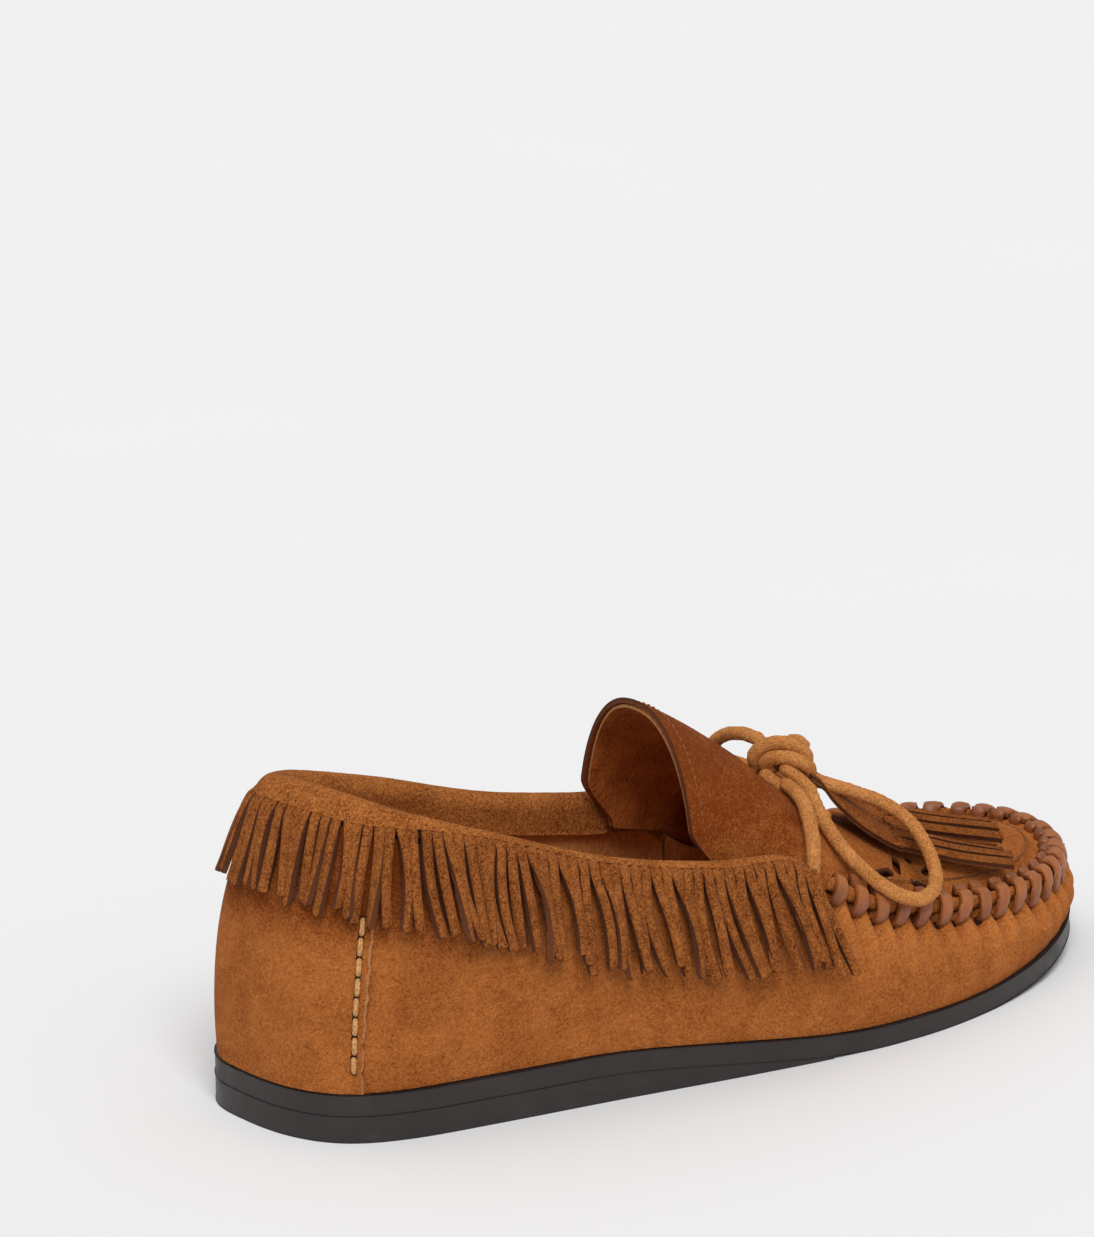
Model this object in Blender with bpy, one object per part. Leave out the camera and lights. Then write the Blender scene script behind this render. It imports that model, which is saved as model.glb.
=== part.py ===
"""Fringed suede moccasin for the right foot, as separate pieces in one frame.

Metres, +Z up.  +X runs from heel to toe, -Y is the outer (lateral) side.
The origin is on the ground under the middle of the heel.
"""
import math

import bmesh
import bpy
import numpy as np

MM = 0.001
GAP = 0.3                      # clearance between pieces that touch (mm)

# ---------------------------------------------------------------- sizes (mm)
SOLE_THICK = 5.6               # outsole, the same all along
HEEL_TOP = 12.8                # top of the outsole at the heel
WEDGE_START, WEDGE_END = 38.0, 128.0   # stretch in which the outsole comes down to the ground
SPRING_START, SPRING_END, TOE_SPRING = 150.0, 220.0, 7.0
FEATHER_INSET = 1.0            # upper's lower edge, in from the sole's edge
WALL_BELLY = 2.5               # how far the upper stands out low down
SUEDE = 1.4
LINING = 0.9
COUNTER = 1.1
LACE_R = 1.85
ROLL_R = 3.55                  # collar fold, to the middle of its suede
ROLL_MID = -1.95               # middle of the fold, from the upper's outer face
OUTER_LEG = 5.0                # collar's two legs, down from the upper's top edge
INNER_LEG = 9.2
FRINGE_BOTTOM = 27.5           # lowest point of the fringe, down from the fold
HINGE_X = 121.0                # where the tongue ends and the apron starts
TONGUE_REAR = 78.0
KNOT = (122.5, -1.5, 68.6)

# Stations round the shoe, from the heel along the outer side to the toe and
# back along the inner side: sole outline x, y and upper's top edge x, y, z.
# The top edge is the collar fold at the back and the apron seam at the front.
STATIONS = [
    (-38.5, 5, -27, 4, 89.5), (-34.5, -11.5, -24, -10.5, 89.8), (-25.5, -23.5, -16.5, -20, 87.5),
    (-10, -30, -5, -25, 83), (15, -33.5, 17, -29, 74.8), (48, -37, 48, -32.7, 63.5),
    (80, -41, 78, -36, 57.2), (104, -43.5, 101, -37.2, 54.5), (116, -44.2, 114, -38, 43.5),
    (130, -44.3, 128, -37, 35.6), (148, -42.5, 146, -34.7, 30.4), (170, -37, 168, -30, 26.4),
    (190, -28.5, 186, -24.3, 24.6), (205, -17.5, 200, -15.8, 24), (215, -5, 209.5, -5, 24.4),
    (219.5, 8, 213, 7, 25.4), (215.5, 22.5, 209, 19, 26.4), (202, 34.5, 197, 29.5, 27),
    (182, 41.5, 178, 35.3, 28), (160, 44, 157, 37.5, 29.8), (135, 43.5, 133, 37.5, 34.2),
    (116, 41.5, 114, 37, 42.5), (104, 39.5, 101, 35.8, 52.2), (80, 36, 78, 33.5, 56.4),
    (48, 33.5, 48, 30, 63.7), (15, 34.5, 17, 26.8, 74.4), (-12, 35, -6, 22.6, 81.8),
    (-28.5, 30.5, -17.5, 18, 85.6), (-38, 19, -25, 12, 88)]
LAST = len(STATIONS)
TOE = 15.0                     # station at the toe tip
COLLAR_OUTER, COLLAR_INNER = 7.45, 21.55      # stations of the collar's two front ends
SEAM_OUTER, SEAM_INNER = 2.3, 26.6            # stations of the two heel seams
# Ridge of the tongue and apron, seen from the side: x, z.
RIDGE = [(78, 91.5), (90, 84.6), (102, 75.7), (114, 65.2), (121, 58.8), (128, 53.6), (140, 47.6),
         (155, 43), (175, 37.8), (190, 33.8), (205, 29.8), (213, 25.4)]


# ------------------------------------------------------------------ geometry
def smooth(t):
    t = np.clip(t, 0.0, 1.0)
    return t * t * (3 - 2 * t)


def ring(points, u):
    """Closed Catmull-Rom curve through the points, at station numbers u."""
    p = np.asarray(points, float)
    u = np.asarray(u, float)
    i = np.floor(u).astype(int)
    t = (u - i)[..., None]
    a, b, c, d = (p[(i + k) % len(p)] for k in (-1, 0, 1, 2))
    return 0.5 * (2 * b + (c - a) * t + (2 * a - 5 * b + 4 * c - d) * t**2 + (3 * b - a - 3 * c + d) * t**3)


def through(points, n):
    """Open smooth curve through a few points, as n points."""
    p = np.asarray(points, float)
    p = np.vstack([2 * p[0] - p[1], p, 2 * p[-1] - p[-2]])
    u = np.linspace(1, len(p) - 2 - 1e-6, n)
    return ring(p, u)


OUTLINE = [(s[0], s[1]) for s in STATIONS]
TOPLINE = [s[2:] for s in STATIONS]


def spring(x):
    return TOE_SPRING * np.clip((x - SPRING_START) / (SPRING_END - SPRING_START), 0, None) ** 2


def tread_z(x):
    """Underside of the outsole."""
    drop = HEEL_TOP - SOLE_THICK
    return drop * (1 - smooth((x - WEDGE_START) / (WEDGE_END - WEDGE_START))) + spring(x)


def sole_z(x):
    """Upper side of the outsole."""
    return tread_z(x) + SOLE_THICK


def outward(u):
    """Unit vector out of the sole's outline, level."""
    step = ring(OUTLINE, u + 0.02) - ring(OUTLINE, u - 0.02)
    n = np.stack([step[..., 1], -step[..., 0]], -1)
    return n / np.linalg.norm(n, axis=-1, keepdims=True)


def edge(u, inset=0.0):
    """Sole outline, moved in."""
    return ring(OUTLINE, u) - inset * outward(u)


def wall(u, v):
    """Outer face of the upper: v is 0 at the sole and 1 at the top edge."""
    u, v = np.broadcast_arrays(np.asarray(u, float), np.asarray(v, float))
    foot, n = edge(u, FEATHER_INSET), outward(u)
    top = ring(TOPLINE, u)
    low = sole_z(foot[..., 0]) + GAP
    high = top[..., 2]
    lean = np.sum((foot - top[..., :2]) * n, -1, keepdims=True)
    p = [foot, foot + WALL_BELLY * n, top[..., :2] + 0.8 * lean * n, top[..., :2]]
    z = [low, low + 0.35 * (high - low), high - 0.3 * (high - low), high]
    w = [(1 - v) ** 3, 3 * v * (1 - v) ** 2, 3 * v * v * (1 - v), v ** 3]
    xy = sum(a[..., None] * b for a, b in zip(w, p))
    return np.concatenate([xy, sum(a * b for a, b in zip(w, z))[..., None]], -1)


def wall_frame(u, v):
    """Point, outward normal and upward direction on the upper's outer face."""
    here = wall(u, v)
    along = wall(u + 0.02, v) - wall(u - 0.02, v)
    up = wall(u, np.asarray(v) + 0.01) - wall(u, np.asarray(v) - 0.01)
    n = np.cross(along, up)
    n /= np.linalg.norm(n, axis=-1, keepdims=True)
    up /= np.linalg.norm(up, axis=-1, keepdims=True)
    return here, n, up


def wall_point(u, v, d):
    """Point at a distance d out of the upper's outer face."""
    here, n, _ = wall_frame(u, v)
    return here + np.asarray(d)[..., None] * n


def below_top(u, mm):
    """v of the point that lies mm below the top edge, measured along the wall."""
    v = np.linspace(1, 0, 61)
    u, mm = np.broadcast_arrays(np.asarray(u, float), np.asarray(mm, float))
    found = np.empty(u.shape)
    for index in np.ndindex(u.shape):
        line = wall(u[index], v)
        run = np.concatenate([[0], np.cumsum(np.linalg.norm(np.diff(line, axis=0), axis=1))])
        found[index] = np.interp(mm[index], run, v)
    return found


def at_front(u):
    """1 along the apron seam, 0 along the collar."""
    return smooth((u - 7.2) / 0.9) * smooth((21.8 - u) / 0.9)


SEAM_U = np.linspace(7.0, 22.0, 601)
SEAM = ring(TOPLINE, SEAM_U)
OUTER = SEAM[SEAM_U <= TOE]
INNER = SEAM[SEAM_U >= TOE][::-1]
RIDGE_X, RIDGE_Z = through(RIDGE, 200).T


def saddle_sides(x):
    """Side edges of the apron and tongue at x: outer y, z and inner y, z."""
    yo, zo = np.interp(x, OUTER[:, 0], OUTER[:, 1]), np.interp(x, OUTER[:, 0], OUTER[:, 2])
    yi, zi = np.interp(x, INNER[:, 0], INNER[:, 1]), np.interp(x, INNER[:, 0], INNER[:, 2])
    k = smooth((HINGE_X + 6 - x) / 22)              # 1 on the tongue, 0 on the apron
    half = np.interp(x, [78, 100, 121], [27.8, 28.7, 31.4])
    leg = np.interp(x, [78, 100, 121], [50, 44.5, 40.5])
    return yo + k * (-half - yo), zo + k * (leg - zo), yi + k * (half - yi), zi + k * (leg - zi)


def saddle(x, q, d=0.0, edge_in=0.0):
    """Upper face of the tongue and apron: q runs from -1 (outer edge) to 1."""
    x, q = np.broadcast_arrays(np.asarray(x, float), np.asarray(q, float))

    def surface(x, q):
        yo, zo, yi, zi = saddle_sides(x)
        yo, yi = yo + edge_in, yi - edge_in
        t = (q + 1) / 2
        side = zo + t * (zi - zo)
        crown = np.interp(x, RIDGE_X, RIDGE_Z) - (zo + zi) / 2
        power = 1 - 0.52 * smooth((150 - x) / 62)
        z = side + crown * np.clip(1 - np.abs(q) ** 2.3, 0, 1) ** power
        return np.stack([x, yo + t * (yi - yo), z], -1)

    here = surface(x, q)
    if np.all(np.asarray(d) == 0):
        return here
    e = 1e-3
    n = np.cross(surface(x + 0.1, q) - surface(x - 0.1, q),
                 surface(x, np.clip(q + e, -1, 1)) - surface(x, np.clip(q - e, -1, 1)))
    n /= np.linalg.norm(n, axis=-1, keepdims=True)
    return here + np.asarray(d)[..., None] * n


def saddle_z(x, y):
    """Height of the tongue and apron over a point."""
    yo, _, yi, _ = saddle_sides(np.asarray(x, float))
    q = np.clip(2 * (y - yo) / (yi - yo) - 1, -1, 1)
    return saddle(x, q)[..., 2]


# -------------------------------------------------------------- object makers
def material(name, colour, roughness, metallic=0.0):
    m = bpy.data.materials.get(name)
    if m is None:
        m = bpy.data.materials.new(name)
        m.use_nodes = True
        shader = m.node_tree.nodes["Principled BSDF"]
        shader.inputs["Base Color"].default_value = (*colour, 1)
        shader.inputs["Roughness"].default_value = roughness
        shader.inputs["Metallic"].default_value = metallic
    return m


def suede():
    return material("suede", (0.33, 0.135, 0.038), 0.95)


def lining_leather():
    return material("lining_leather", (0.52, 0.27, 0.12), 0.6)


def stitch_leather():
    return material("stitch_leather", (0.38, 0.15, 0.045), 0.45)


def sole_leather():
    return material("sole_leather", (0.022, 0.013, 0.009), 0.4)


def board():
    return material("board", (0.45, 0.33, 0.2), 0.9)


def steel():
    return material("steel", (0.5, 0.5, 0.5), 0.35, 1.0)


def foam():
    return material("foam", (0.75, 0.66, 0.5), 0.9)


def thread():
    return material("thread", (0.55, 0.3, 0.12), 0.7)


def finish(name, bm, mat):
    mesh = bpy.data.meshes.new(name)
    bm.to_mesh(mesh)
    bm.free()
    mesh.shade_smooth()
    mesh.set_sharp_from_angle(angle=math.radians(40))
    mesh.materials.append(mat)
    obj = bpy.data.objects.new(name, mesh)
    bpy.context.scene.collection.objects.link(obj)
    return obj


def slab(name, lower, upper, mat):
    """Closed sheet between two grids of points: a grid, extruded to its other face."""
    rows, cols = lower.shape[:2]
    bm = bmesh.new()
    bmesh.ops.create_grid(bm, x_segments=cols - 1, y_segments=rows - 1, size=1)
    number = bm.verts.layers.int.new("number")
    for v in bm.verts:
        col = round((v.co.x + 1) / 2 * (cols - 1))
        row = round((v.co.y + 1) / 2 * (rows - 1))
        v[number] = row * cols + col
    flat_low, flat_high = lower.reshape(-1, 3) * MM, upper.reshape(-1, 3) * MM
    made = bmesh.ops.extrude_face_region(bm, geom=bm.faces[:], use_keep_orig=True)["geom"]
    new = {v for v in made if isinstance(v, bmesh.types.BMVert)}
    for v in bm.verts:
        v.co = (flat_high if v in new else flat_low)[v[number]]
    bmesh.ops.remove_doubles(bm, verts=bm.verts[:], dist=1e-6)
    bmesh.ops.recalc_face_normals(bm, faces=bm.faces[:])
    return finish(name, bm, mat)


def shell(name, u, below, d, thick, mat, rows=6, v0=0.0):
    """Part of the upper's wall: from v0 up to below mm under the top edge, d out."""
    top = below_top(u, below)
    v = v0 + (top - v0)[:, None] * np.linspace(0, 1, rows)
    uu = u[:, None] + 0 * v
    return slab(name, wall_point(uu, v, 0 * v + d), wall_point(uu, v, 0 * v + d + thick), mat)


def plate(name, inset, low, high, mat, x0=-40.0, x1=230.0, rows=30, cols=5):
    """Flat layer of the bottom: the outline moved in, between two height rules."""
    s = np.linspace(0.35, TOE - 0.2, 400)
    a, b = edge(s, inset), edge(LAST - s * (LAST - TOE) / TOE, inset)
    middle = (a[:, 0] + b[:, 0]) / 2
    x0, x1 = max(x0, middle[0]), min(x1, middle[-1])
    t = (1 - np.cos(np.linspace(0, math.pi, rows))) / 2
    keep = np.interp(x0 + (x1 - x0) * t, middle, s)
    a, b = edge(keep, inset), edge(LAST - keep * (LAST - TOE) / TOE, inset)
    k = np.linspace(0, 1, cols)[None, :, None]
    xy = a[:, None] * (1 - k) + b[:, None] * k
    x = xy[..., 0]
    return slab(name, np.dstack([xy, low(x)]), np.dstack([xy, high(x)]), mat)


def tube(name, points, radius, mat):
    """Round cord along a line of points, with closed ends."""
    curve = bpy.data.curves.new(name, "CURVE")
    curve.dimensions = "3D"
    curve.bevel_depth = radius * MM
    curve.bevel_resolution = 2
    curve.use_fill_caps = True
    line = curve.splines.new("POLY")
    line.points.add(len(points) - 1)
    for place, point in zip(line.points, points):
        place.co = (*(np.asarray(point) * MM), 1)
    curve.materials.append(mat)
    obj = bpy.data.objects.new(name, curve)
    bpy.context.scene.collection.objects.link(obj)
    return obj


# --------------------------------------------------------------------- bottom
def make_bottom():
    plate("outsole", 0, tread_z, sole_z, sole_leather(), rows=34)
    plate("heel_wedge", 0, lambda x: 0 * x, lambda x: tread_z(x) - GAP, sole_leather(), x1=110, rows=18)

    def layer(offset):
        return lambda x: sole_z(x) + offset

    shank_x = np.linspace(6, 86, 9)[:, None] + np.zeros(3)
    shank_y = np.linspace(-6, 6, 3) + 0 * shank_x
    slab("shank", np.dstack([shank_x, shank_y, sole_z(shank_x) + 0.3]),
         np.dstack([shank_x, shank_y, sole_z(shank_x) + 1.3]), steel())
    plate("cork_filler", 9, layer(0.3), layer(1.3), board(), x0=92, x1=208, rows=14)
    plate("insole_board", 6.5, layer(1.6), layer(3.0), board(), x0=-30, x1=211, rows=22)

    def pad(x):
        return 3.2 * (1 - smooth((x - 30) / 26))

    plate("heel_pad", 8.5, layer(3.3), lambda x: sole_z(x) + 3.7 + pad(x), foam(), x0=-28, x1=52, rows=18)
    plate("sock", 7.5, lambda x: sole_z(x) + 4.2 + pad(x), lambda x: sole_z(x) + 5.2 + pad(x),
          lining_leather(), x0=-29, x1=209, rows=34)


# ---------------------------------------------------------------------- upper
def make_upper():
    """Suede wrapper, heel panel, counter and linings, each inside the next."""
    rim = 6.6                                   # walls stop this far under the collar fold

    def trim(u, front):
        return rim + (front - rim) * at_front(u)

    u = np.linspace(SEAM_OUTER + 0.03, SEAM_INNER - 0.03, 56)
    shell("vamp", u, trim(u, 1.6), -SUEDE, SUEDE, suede(), rows=5)
    u = np.linspace(SEAM_INNER - LAST, SEAM_OUTER, 15)
    shell("heel_panel", u, trim(u, 0), -SUEDE + 0.4, SUEDE, suede(), rows=6)
    u = np.linspace(-4.0, 4.0, 21)
    shell("heel_counter", u, rim + 6 + 0 * u, -SUEDE - 0.5 - COUNTER, COUNTER, board(), rows=5, v0=0.06)
    depth = SUEDE + COUNTER + 0.8 + LINING
    u = np.linspace(COLLAR_INNER - LAST - 0.15, COLLAR_OUTER + 0.15, 39)
    shell("quarter_lining", u, trim(u, rim) + 0.4, -depth, LINING, lining_leather(), rows=5, v0=0.08)
    u = np.linspace(COLLAR_OUTER + 0.3, COLLAR_INNER - 0.3, 34)
    shell("vamp_lining", u, trim(u, 6.5), -depth + COUNTER, LINING, lining_leather(), rows=4, v0=0.08)


def make_apron():
    """Apron over the forefoot, and the thin leather under it."""
    q = np.sin(np.linspace(-0.5, 0.5, 11) * math.pi)[None, :]
    reach = (1 - np.cos(np.linspace(0.25, 1, 15) * math.pi)) / 2
    reach = ((reach - reach[0]) / (1 - reach[0]))[:, None]
    x = HINGE_X + (210.5 - HINGE_X) * reach
    slab("apron", saddle(x, q, -SUEDE, 1.8), saddle(x, q, 0, 1.8), suede())
    x = HINGE_X + 2 + (206 - HINGE_X - 2) * reach
    slab("apron_underlay", saddle(x, q, -SUEDE - 1.1, 4.5), saddle(x, q, -SUEDE - 0.3, 4.5), lining_leather())


def make_tongue():
    q = np.sin(np.linspace(-0.5, 0.5, 13) * math.pi)[None, :]
    front = HINGE_X - 1.2
    x = np.linspace(TONGUE_REAR, front, 11)[:, None]
    slab("tongue", saddle(x, q, -SUEDE, 0.6), saddle(x, q, 0, 0.6), suede())
    x = np.linspace(TONGUE_REAR + 0.8, front, 10)[:, None]
    slab("tongue_lining", saddle(x, q, -SUEDE - 0.3 - LINING, 1.2), saddle(x, q, -SUEDE - 0.3, 1.2),
         lining_leather())


# --------------------------------------------------------------------- collar
def collar_section(u, d, h):
    """Points given by distance out of the wall and height from its top edge."""
    here, n, up = wall_frame(u, 1.0 + 0 * u)
    return here + np.asarray(d)[..., None] * n + np.asarray(h)[..., None] * up


def make_collar():
    """Folded collar over the top edge, with the lace in the fold, and its fringe."""
    u = np.linspace(COLLAR_INNER - LAST, COLLAR_OUTER, 40)[:, None]
    turn = np.linspace(0, math.pi, 5)[None, :]

    def fold(radius):
        d = ROLL_MID + radius * np.cos(turn)
        h = -3.3 + radius * np.sin(turn)
        d = np.hstack([[[ROLL_MID + radius]], d, [[ROLL_MID - radius - 0.5]]]) + 0 * u
        h = np.hstack([[[-OUTER_LEG]], h, [[-INNER_LEG]]]) + 0 * u
        return collar_section(u + 0 * d, d, h)

    slab("collar", fold(ROLL_R - SUEDE / 2), fold(ROLL_R + SUEDE / 2), suede())
    lace_u = np.linspace(COLLAR_INNER - LAST + 0.02, COLLAR_OUTER - 0.02, 44)
    tube("collar_lace", collar_section(lace_u, 0 * lace_u + ROLL_MID, 0 * lace_u - 3.4), LACE_R, suede())

    spans = {"fringe_outer": (3.05, COLLAR_OUTER), "fringe_heel": (-2.95, 2.95),
             "fringe_inner": (COLLAR_INNER, 25.95)}
    for name, (a, b) in spans.items():
        u = np.linspace(a, b, 15)
        down = np.linspace(5.4, FRINGE_BOTTOM, 5)[None, :]
        uu = u[:, None] + 0 * down
        v = below_top(uu, down)
        flare = ROLL_MID + ROLL_R - SUEDE / 2 + 1.8 * ((down - 5.4) / 22) ** 2 + 0 * v
        slab(name, wall_point(uu, v, flare), wall_point(uu, v, flare + SUEDE), suede())


# --------------------------------------------------------------- seam details
def make_seams():
    """Whip lace over the apron seam, and the running stitch of each heel seam."""
    u = np.linspace(8.0, 21.0, 42)
    here, n, _ = wall_frame(u, 1.0 + 0 * u)
    up = np.array([0, 0, 1.0])
    rise = n + up
    rise /= np.linalg.norm(rise, axis=-1, keepdims=True)
    tube("whip_lace", here + 2.4 * rise, 1.9, stitch_leather())
    rows = {"heel_thread_outer": SEAM_OUTER - 0.22, "heel_thread_inner": SEAM_INNER + 0.3 - LAST}
    for name, station in rows.items():
        v = np.linspace(0.06, 0.62, 9)[:, None]
        width = np.array([-0.02, 0.02])[None, :]
        uu = station + width + 0 * v
        vv = v + 0 * width
        slab(name, wall_point(uu, vv, 0 * vv + 0.75), wall_point(uu, vv, 0 * vv + 1.35), thread())


# ------------------------------------------------------------------------ bow
def knot_ball(name, centre, size, mat):
    bm = bmesh.new()
    bmesh.ops.create_uvsphere(bm, u_segments=14, v_segments=8, radius=1)
    for v in bm.verts:
        v.co = [(c + s * k) * MM for c, s, k in zip(centre, size, v.co)]
    return finish(name, bm, mat)


# Middle lines of the lace and the tassels (mm); the tassels' heights follow the apron.
RISER_OUTER = [(108.5, -36.5, 52), (112.5, -30, 56.8), (117, -19.5, 61.8), (119.5, -9.5, 62.8),
               (121, -3.8, 61.4)]
RISER_INNER = [(108.5, 34.5, 52), (112.5, 28.5, 57.6), (116.5, 18.5, 62.8), (119.5, 8.5, 62.9),
               (121, 1.8, 61.4)]
LOOP_OUTER = [(125.2, -10.5, 61.2), (123, -18.5, 57.2), (122.8, -28, 51.4), (126, -36, 45.2),
              (131.5, -41, 40.2), (137.5, -42.2, 37.8), (143, -40.8, 38.2), (147, -37.2, 40.4),
              (149.3, -31.4, 44.4), (149.6, -26, 48.6), (148, -21.5, 52.4), (144.5, -16.5, 55.6),
              (139, -12.2, 58.2), (132.5, -9, 60.8), (129.9, -8, 61.9)]
LOOP_INNER = [(121.8, 8.5, 70.6), (121.5, 15, 70.2), (121.6, 23, 67.6), (123, 30.5, 62.6), (126.3, 37, 54.8),
              (131, 41.2, 46.5), (137, 43.2, 41), (142.5, 42, 39.6), (146, 37.5, 42), (146, 31, 46.2),
              (141.5, 25, 51), (135.5, 20.5, 55), (130, 16.2, 58.8), (126.5, 12.4, 61.8), (125.2, 9, 63.2)]
TASSEL_OUTER = [(132.5, -7), (144, -13.5), (163, -17.8), (182.5, -18.4)]
TASSEL_INNER = [(133, 2), (148, -0.8), (168, -5), (187, -7)]


def make_tassel(name, line):
    """Flat suede tassel lying on the apron: narrow neck, then a wide cut end."""
    mid = through(line, 13)
    step = np.gradient(mid, axis=0)
    side = np.stack([-step[:, 1], step[:, 0]], -1) / np.linalg.norm(step, axis=1)[:, None]
    s = np.linspace(0, 1, len(mid))
    half = 2.2 + 3.6 * smooth(s / 0.3)
    across = np.linspace(-1, 1, 5)
    xy = mid[:, None] + side[:, None] * (half[:, None] * across)[..., None]
    rise = 0.9 + 4.9 * (1 - smooth(s / 0.35))
    arch = 2.0 * smooth(s / 0.4)[:, None] * (1 - across ** 2)
    z = saddle_z(xy[..., 0], xy[..., 1]) + rise[:, None] + arch
    thick = 2.2
    slab(name, np.dstack([xy, z]), np.dstack([xy, z + thick]), suede())


def make_bow():
    knot_ball("knot", KNOT, (7.6, 7.2, 5.0), suede())
    tube("riser_outer", through(RISER_OUTER, 16), LACE_R, suede())
    tube("riser_inner", through(RISER_INNER, 16), LACE_R, suede())
    tube("loop_outer", through(LOOP_OUTER, 32), LACE_R, suede())
    tube("loop_inner", through(LOOP_INNER, 26), LACE_R, suede())
    make_tassel("tassel_outer", TASSEL_OUTER)
    make_tassel("tassel_inner", TASSEL_INNER)


def main():
    for obj in list(bpy.data.objects):
        bpy.data.objects.remove(obj, do_unlink=True)
    make_bottom()
    make_upper()
    make_apron()
    make_tongue()
    make_collar()
    make_seams()
    make_bow()


main()
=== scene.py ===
"""Looks of the fringed suede moccasin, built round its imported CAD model.

Sizes are in millimetres until a mesh is made.  +X runs from heel to toe, -Y is
the outer side of the foot and +Z is up.
"""
import math
from functools import cache

import bmesh
import bpy
import numpy as np
from mathutils import Matrix, Vector
from mathutils.kdtree import KDTree


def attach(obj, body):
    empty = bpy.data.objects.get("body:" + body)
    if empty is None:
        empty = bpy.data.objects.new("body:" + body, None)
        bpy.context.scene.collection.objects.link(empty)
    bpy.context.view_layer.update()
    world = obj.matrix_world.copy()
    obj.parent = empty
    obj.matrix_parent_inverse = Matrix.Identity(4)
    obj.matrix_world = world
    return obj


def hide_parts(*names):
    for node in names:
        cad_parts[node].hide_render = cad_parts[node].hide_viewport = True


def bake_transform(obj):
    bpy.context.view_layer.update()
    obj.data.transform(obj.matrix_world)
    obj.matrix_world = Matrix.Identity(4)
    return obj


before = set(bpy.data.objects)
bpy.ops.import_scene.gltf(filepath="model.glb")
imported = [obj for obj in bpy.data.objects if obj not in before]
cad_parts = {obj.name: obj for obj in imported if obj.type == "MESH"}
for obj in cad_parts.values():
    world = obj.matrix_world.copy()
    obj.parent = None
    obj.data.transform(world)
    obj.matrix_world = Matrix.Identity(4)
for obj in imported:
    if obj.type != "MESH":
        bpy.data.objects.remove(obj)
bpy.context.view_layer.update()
MM = 0.001
rng = np.random.default_rng(7)

# ------------------------------------------------------------ sizes, as in the CAD
SOLE_THICK = 5.6
HEEL_TOP = 12.8
WEDGE_START, WEDGE_END = 38.0, 128.0
SPRING_START, SPRING_END, TOE_SPRING = 150.0, 220.0, 7.0
SUEDE, LINING, COUNTER = 1.4, 0.9, 1.1
LACE_R = 1.85

# The upper starts this far inside the sole's edge and over the sole, and bulges this much.
FEATHER_INSET, GAP, WALL_BELLY = 1.0, 0.3, 2.5

# The collar's fold: its radius, its centre out of the wall and over the wall's top edge, how
# far it goes down inside, and how far down outside the fringe ends.
ROLL_R, ROLL_MID, FOLD_CENTRE = 3.55, -1.95, -3.3
INNER_LEG, FRINGE_BOTTOM = 9.2, 27.5

HINGE_X = 121.0
TONGUE_REAR = 78.0
KNOT = np.array([122.5, -1.5, 68.6])

# Stations round the shoe, from the heel along the outer side to the toe and back along the
# inner side: x, y of the sole's edge and x, y, z of the upper's top edge.
STATIONS = [
    (-38.5, 5, -27, 4, 89.5), (-34.5, -11.5, -24, -10.5, 89.8), (-25.5, -23.5, -16.5, -20, 87.5),
    (-10, -30, -5, -25, 83), (15, -33.5, 17, -29, 74.8), (48, -37, 48, -32.7, 63.5),
    (80, -41, 78, -36, 57.2), (104, -43.5, 101, -37.2, 54.5), (116, -44.2, 114, -38, 43.5),
    (130, -44.3, 128, -37, 35.6), (148, -42.5, 146, -34.7, 30.4), (170, -37, 168, -30, 26.4),
    (190, -28.5, 186, -24.3, 24.6), (205, -17.5, 200, -15.8, 24), (215, -5, 209.5, -5, 24.4),
    (219.5, 8, 213, 7, 25.4), (215.5, 22.5, 209, 19, 26.4), (202, 34.5, 197, 29.5, 27),
    (182, 41.5, 178, 35.3, 28), (160, 44, 157, 37.5, 29.8), (135, 43.5, 133, 37.5, 34.2),
    (116, 41.5, 114, 37, 42.5), (104, 39.5, 101, 35.8, 52.2), (80, 36, 78, 33.5, 56.4),
    (48, 33.5, 48, 30, 63.7), (15, 34.5, 17, 26.8, 74.4), (-12, 35, -6, 22.6, 81.8),
    (-28.5, 30.5, -17.5, 18, 85.6), (-38, 19, -25, 12, 88)]

# Station numbers: the toe, the collar's two ends, the two heel seams, and the apron seam.
LAST = len(STATIONS)
TOE = 15.0
COLLAR_OUTER, COLLAR_INNER = 7.45, 21.55
SEAM_OUTER, SEAM_INNER = 2.3, 26.6
APRON_FROM, APRON_TO, APRON_FADE = 7.2, 21.8, 0.9
NEARBY = 0.02

# x and z of the middle of the tongue and apron, and the middle lines of the lace and tassels.
RIDGE = [(78, 91.5), (90, 84.6), (102, 75.7), (114, 65.2), (121, 58.8), (128, 53.6), (140, 47.6),
         (155, 43), (175, 37.8), (190, 33.8), (205, 29.8), (213, 25.4)]
RISER_OUTER = [(108.5, -36.5, 52), (112.5, -30, 56.8), (117, -19.5, 61.8), (119.5, -9.5, 62.8),
               (121, -3.8, 61.4)]
RISER_INNER = [(108.5, 34.5, 52), (112.5, 28.5, 57.6), (116.5, 18.5, 62.8), (119.5, 8.5, 62.9),
               (121, 1.8, 61.4)]
LOOP_OUTER = [(125.2, -10.5, 61.2), (123, -18.5, 57.2), (122.8, -28, 51.4), (126, -36, 45.2),
              (131.5, -41, 40.2), (137.5, -42.2, 37.8), (143, -40.8, 38.2), (147, -37.2, 40.4),
              (149.3, -31.4, 44.4), (149.6, -26, 48.6), (148, -21.5, 52.4), (144.5, -16.5, 55.6),
              (139, -12.2, 58.2), (132.5, -9, 60.8), (129.9, -8, 61.9)]
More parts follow.
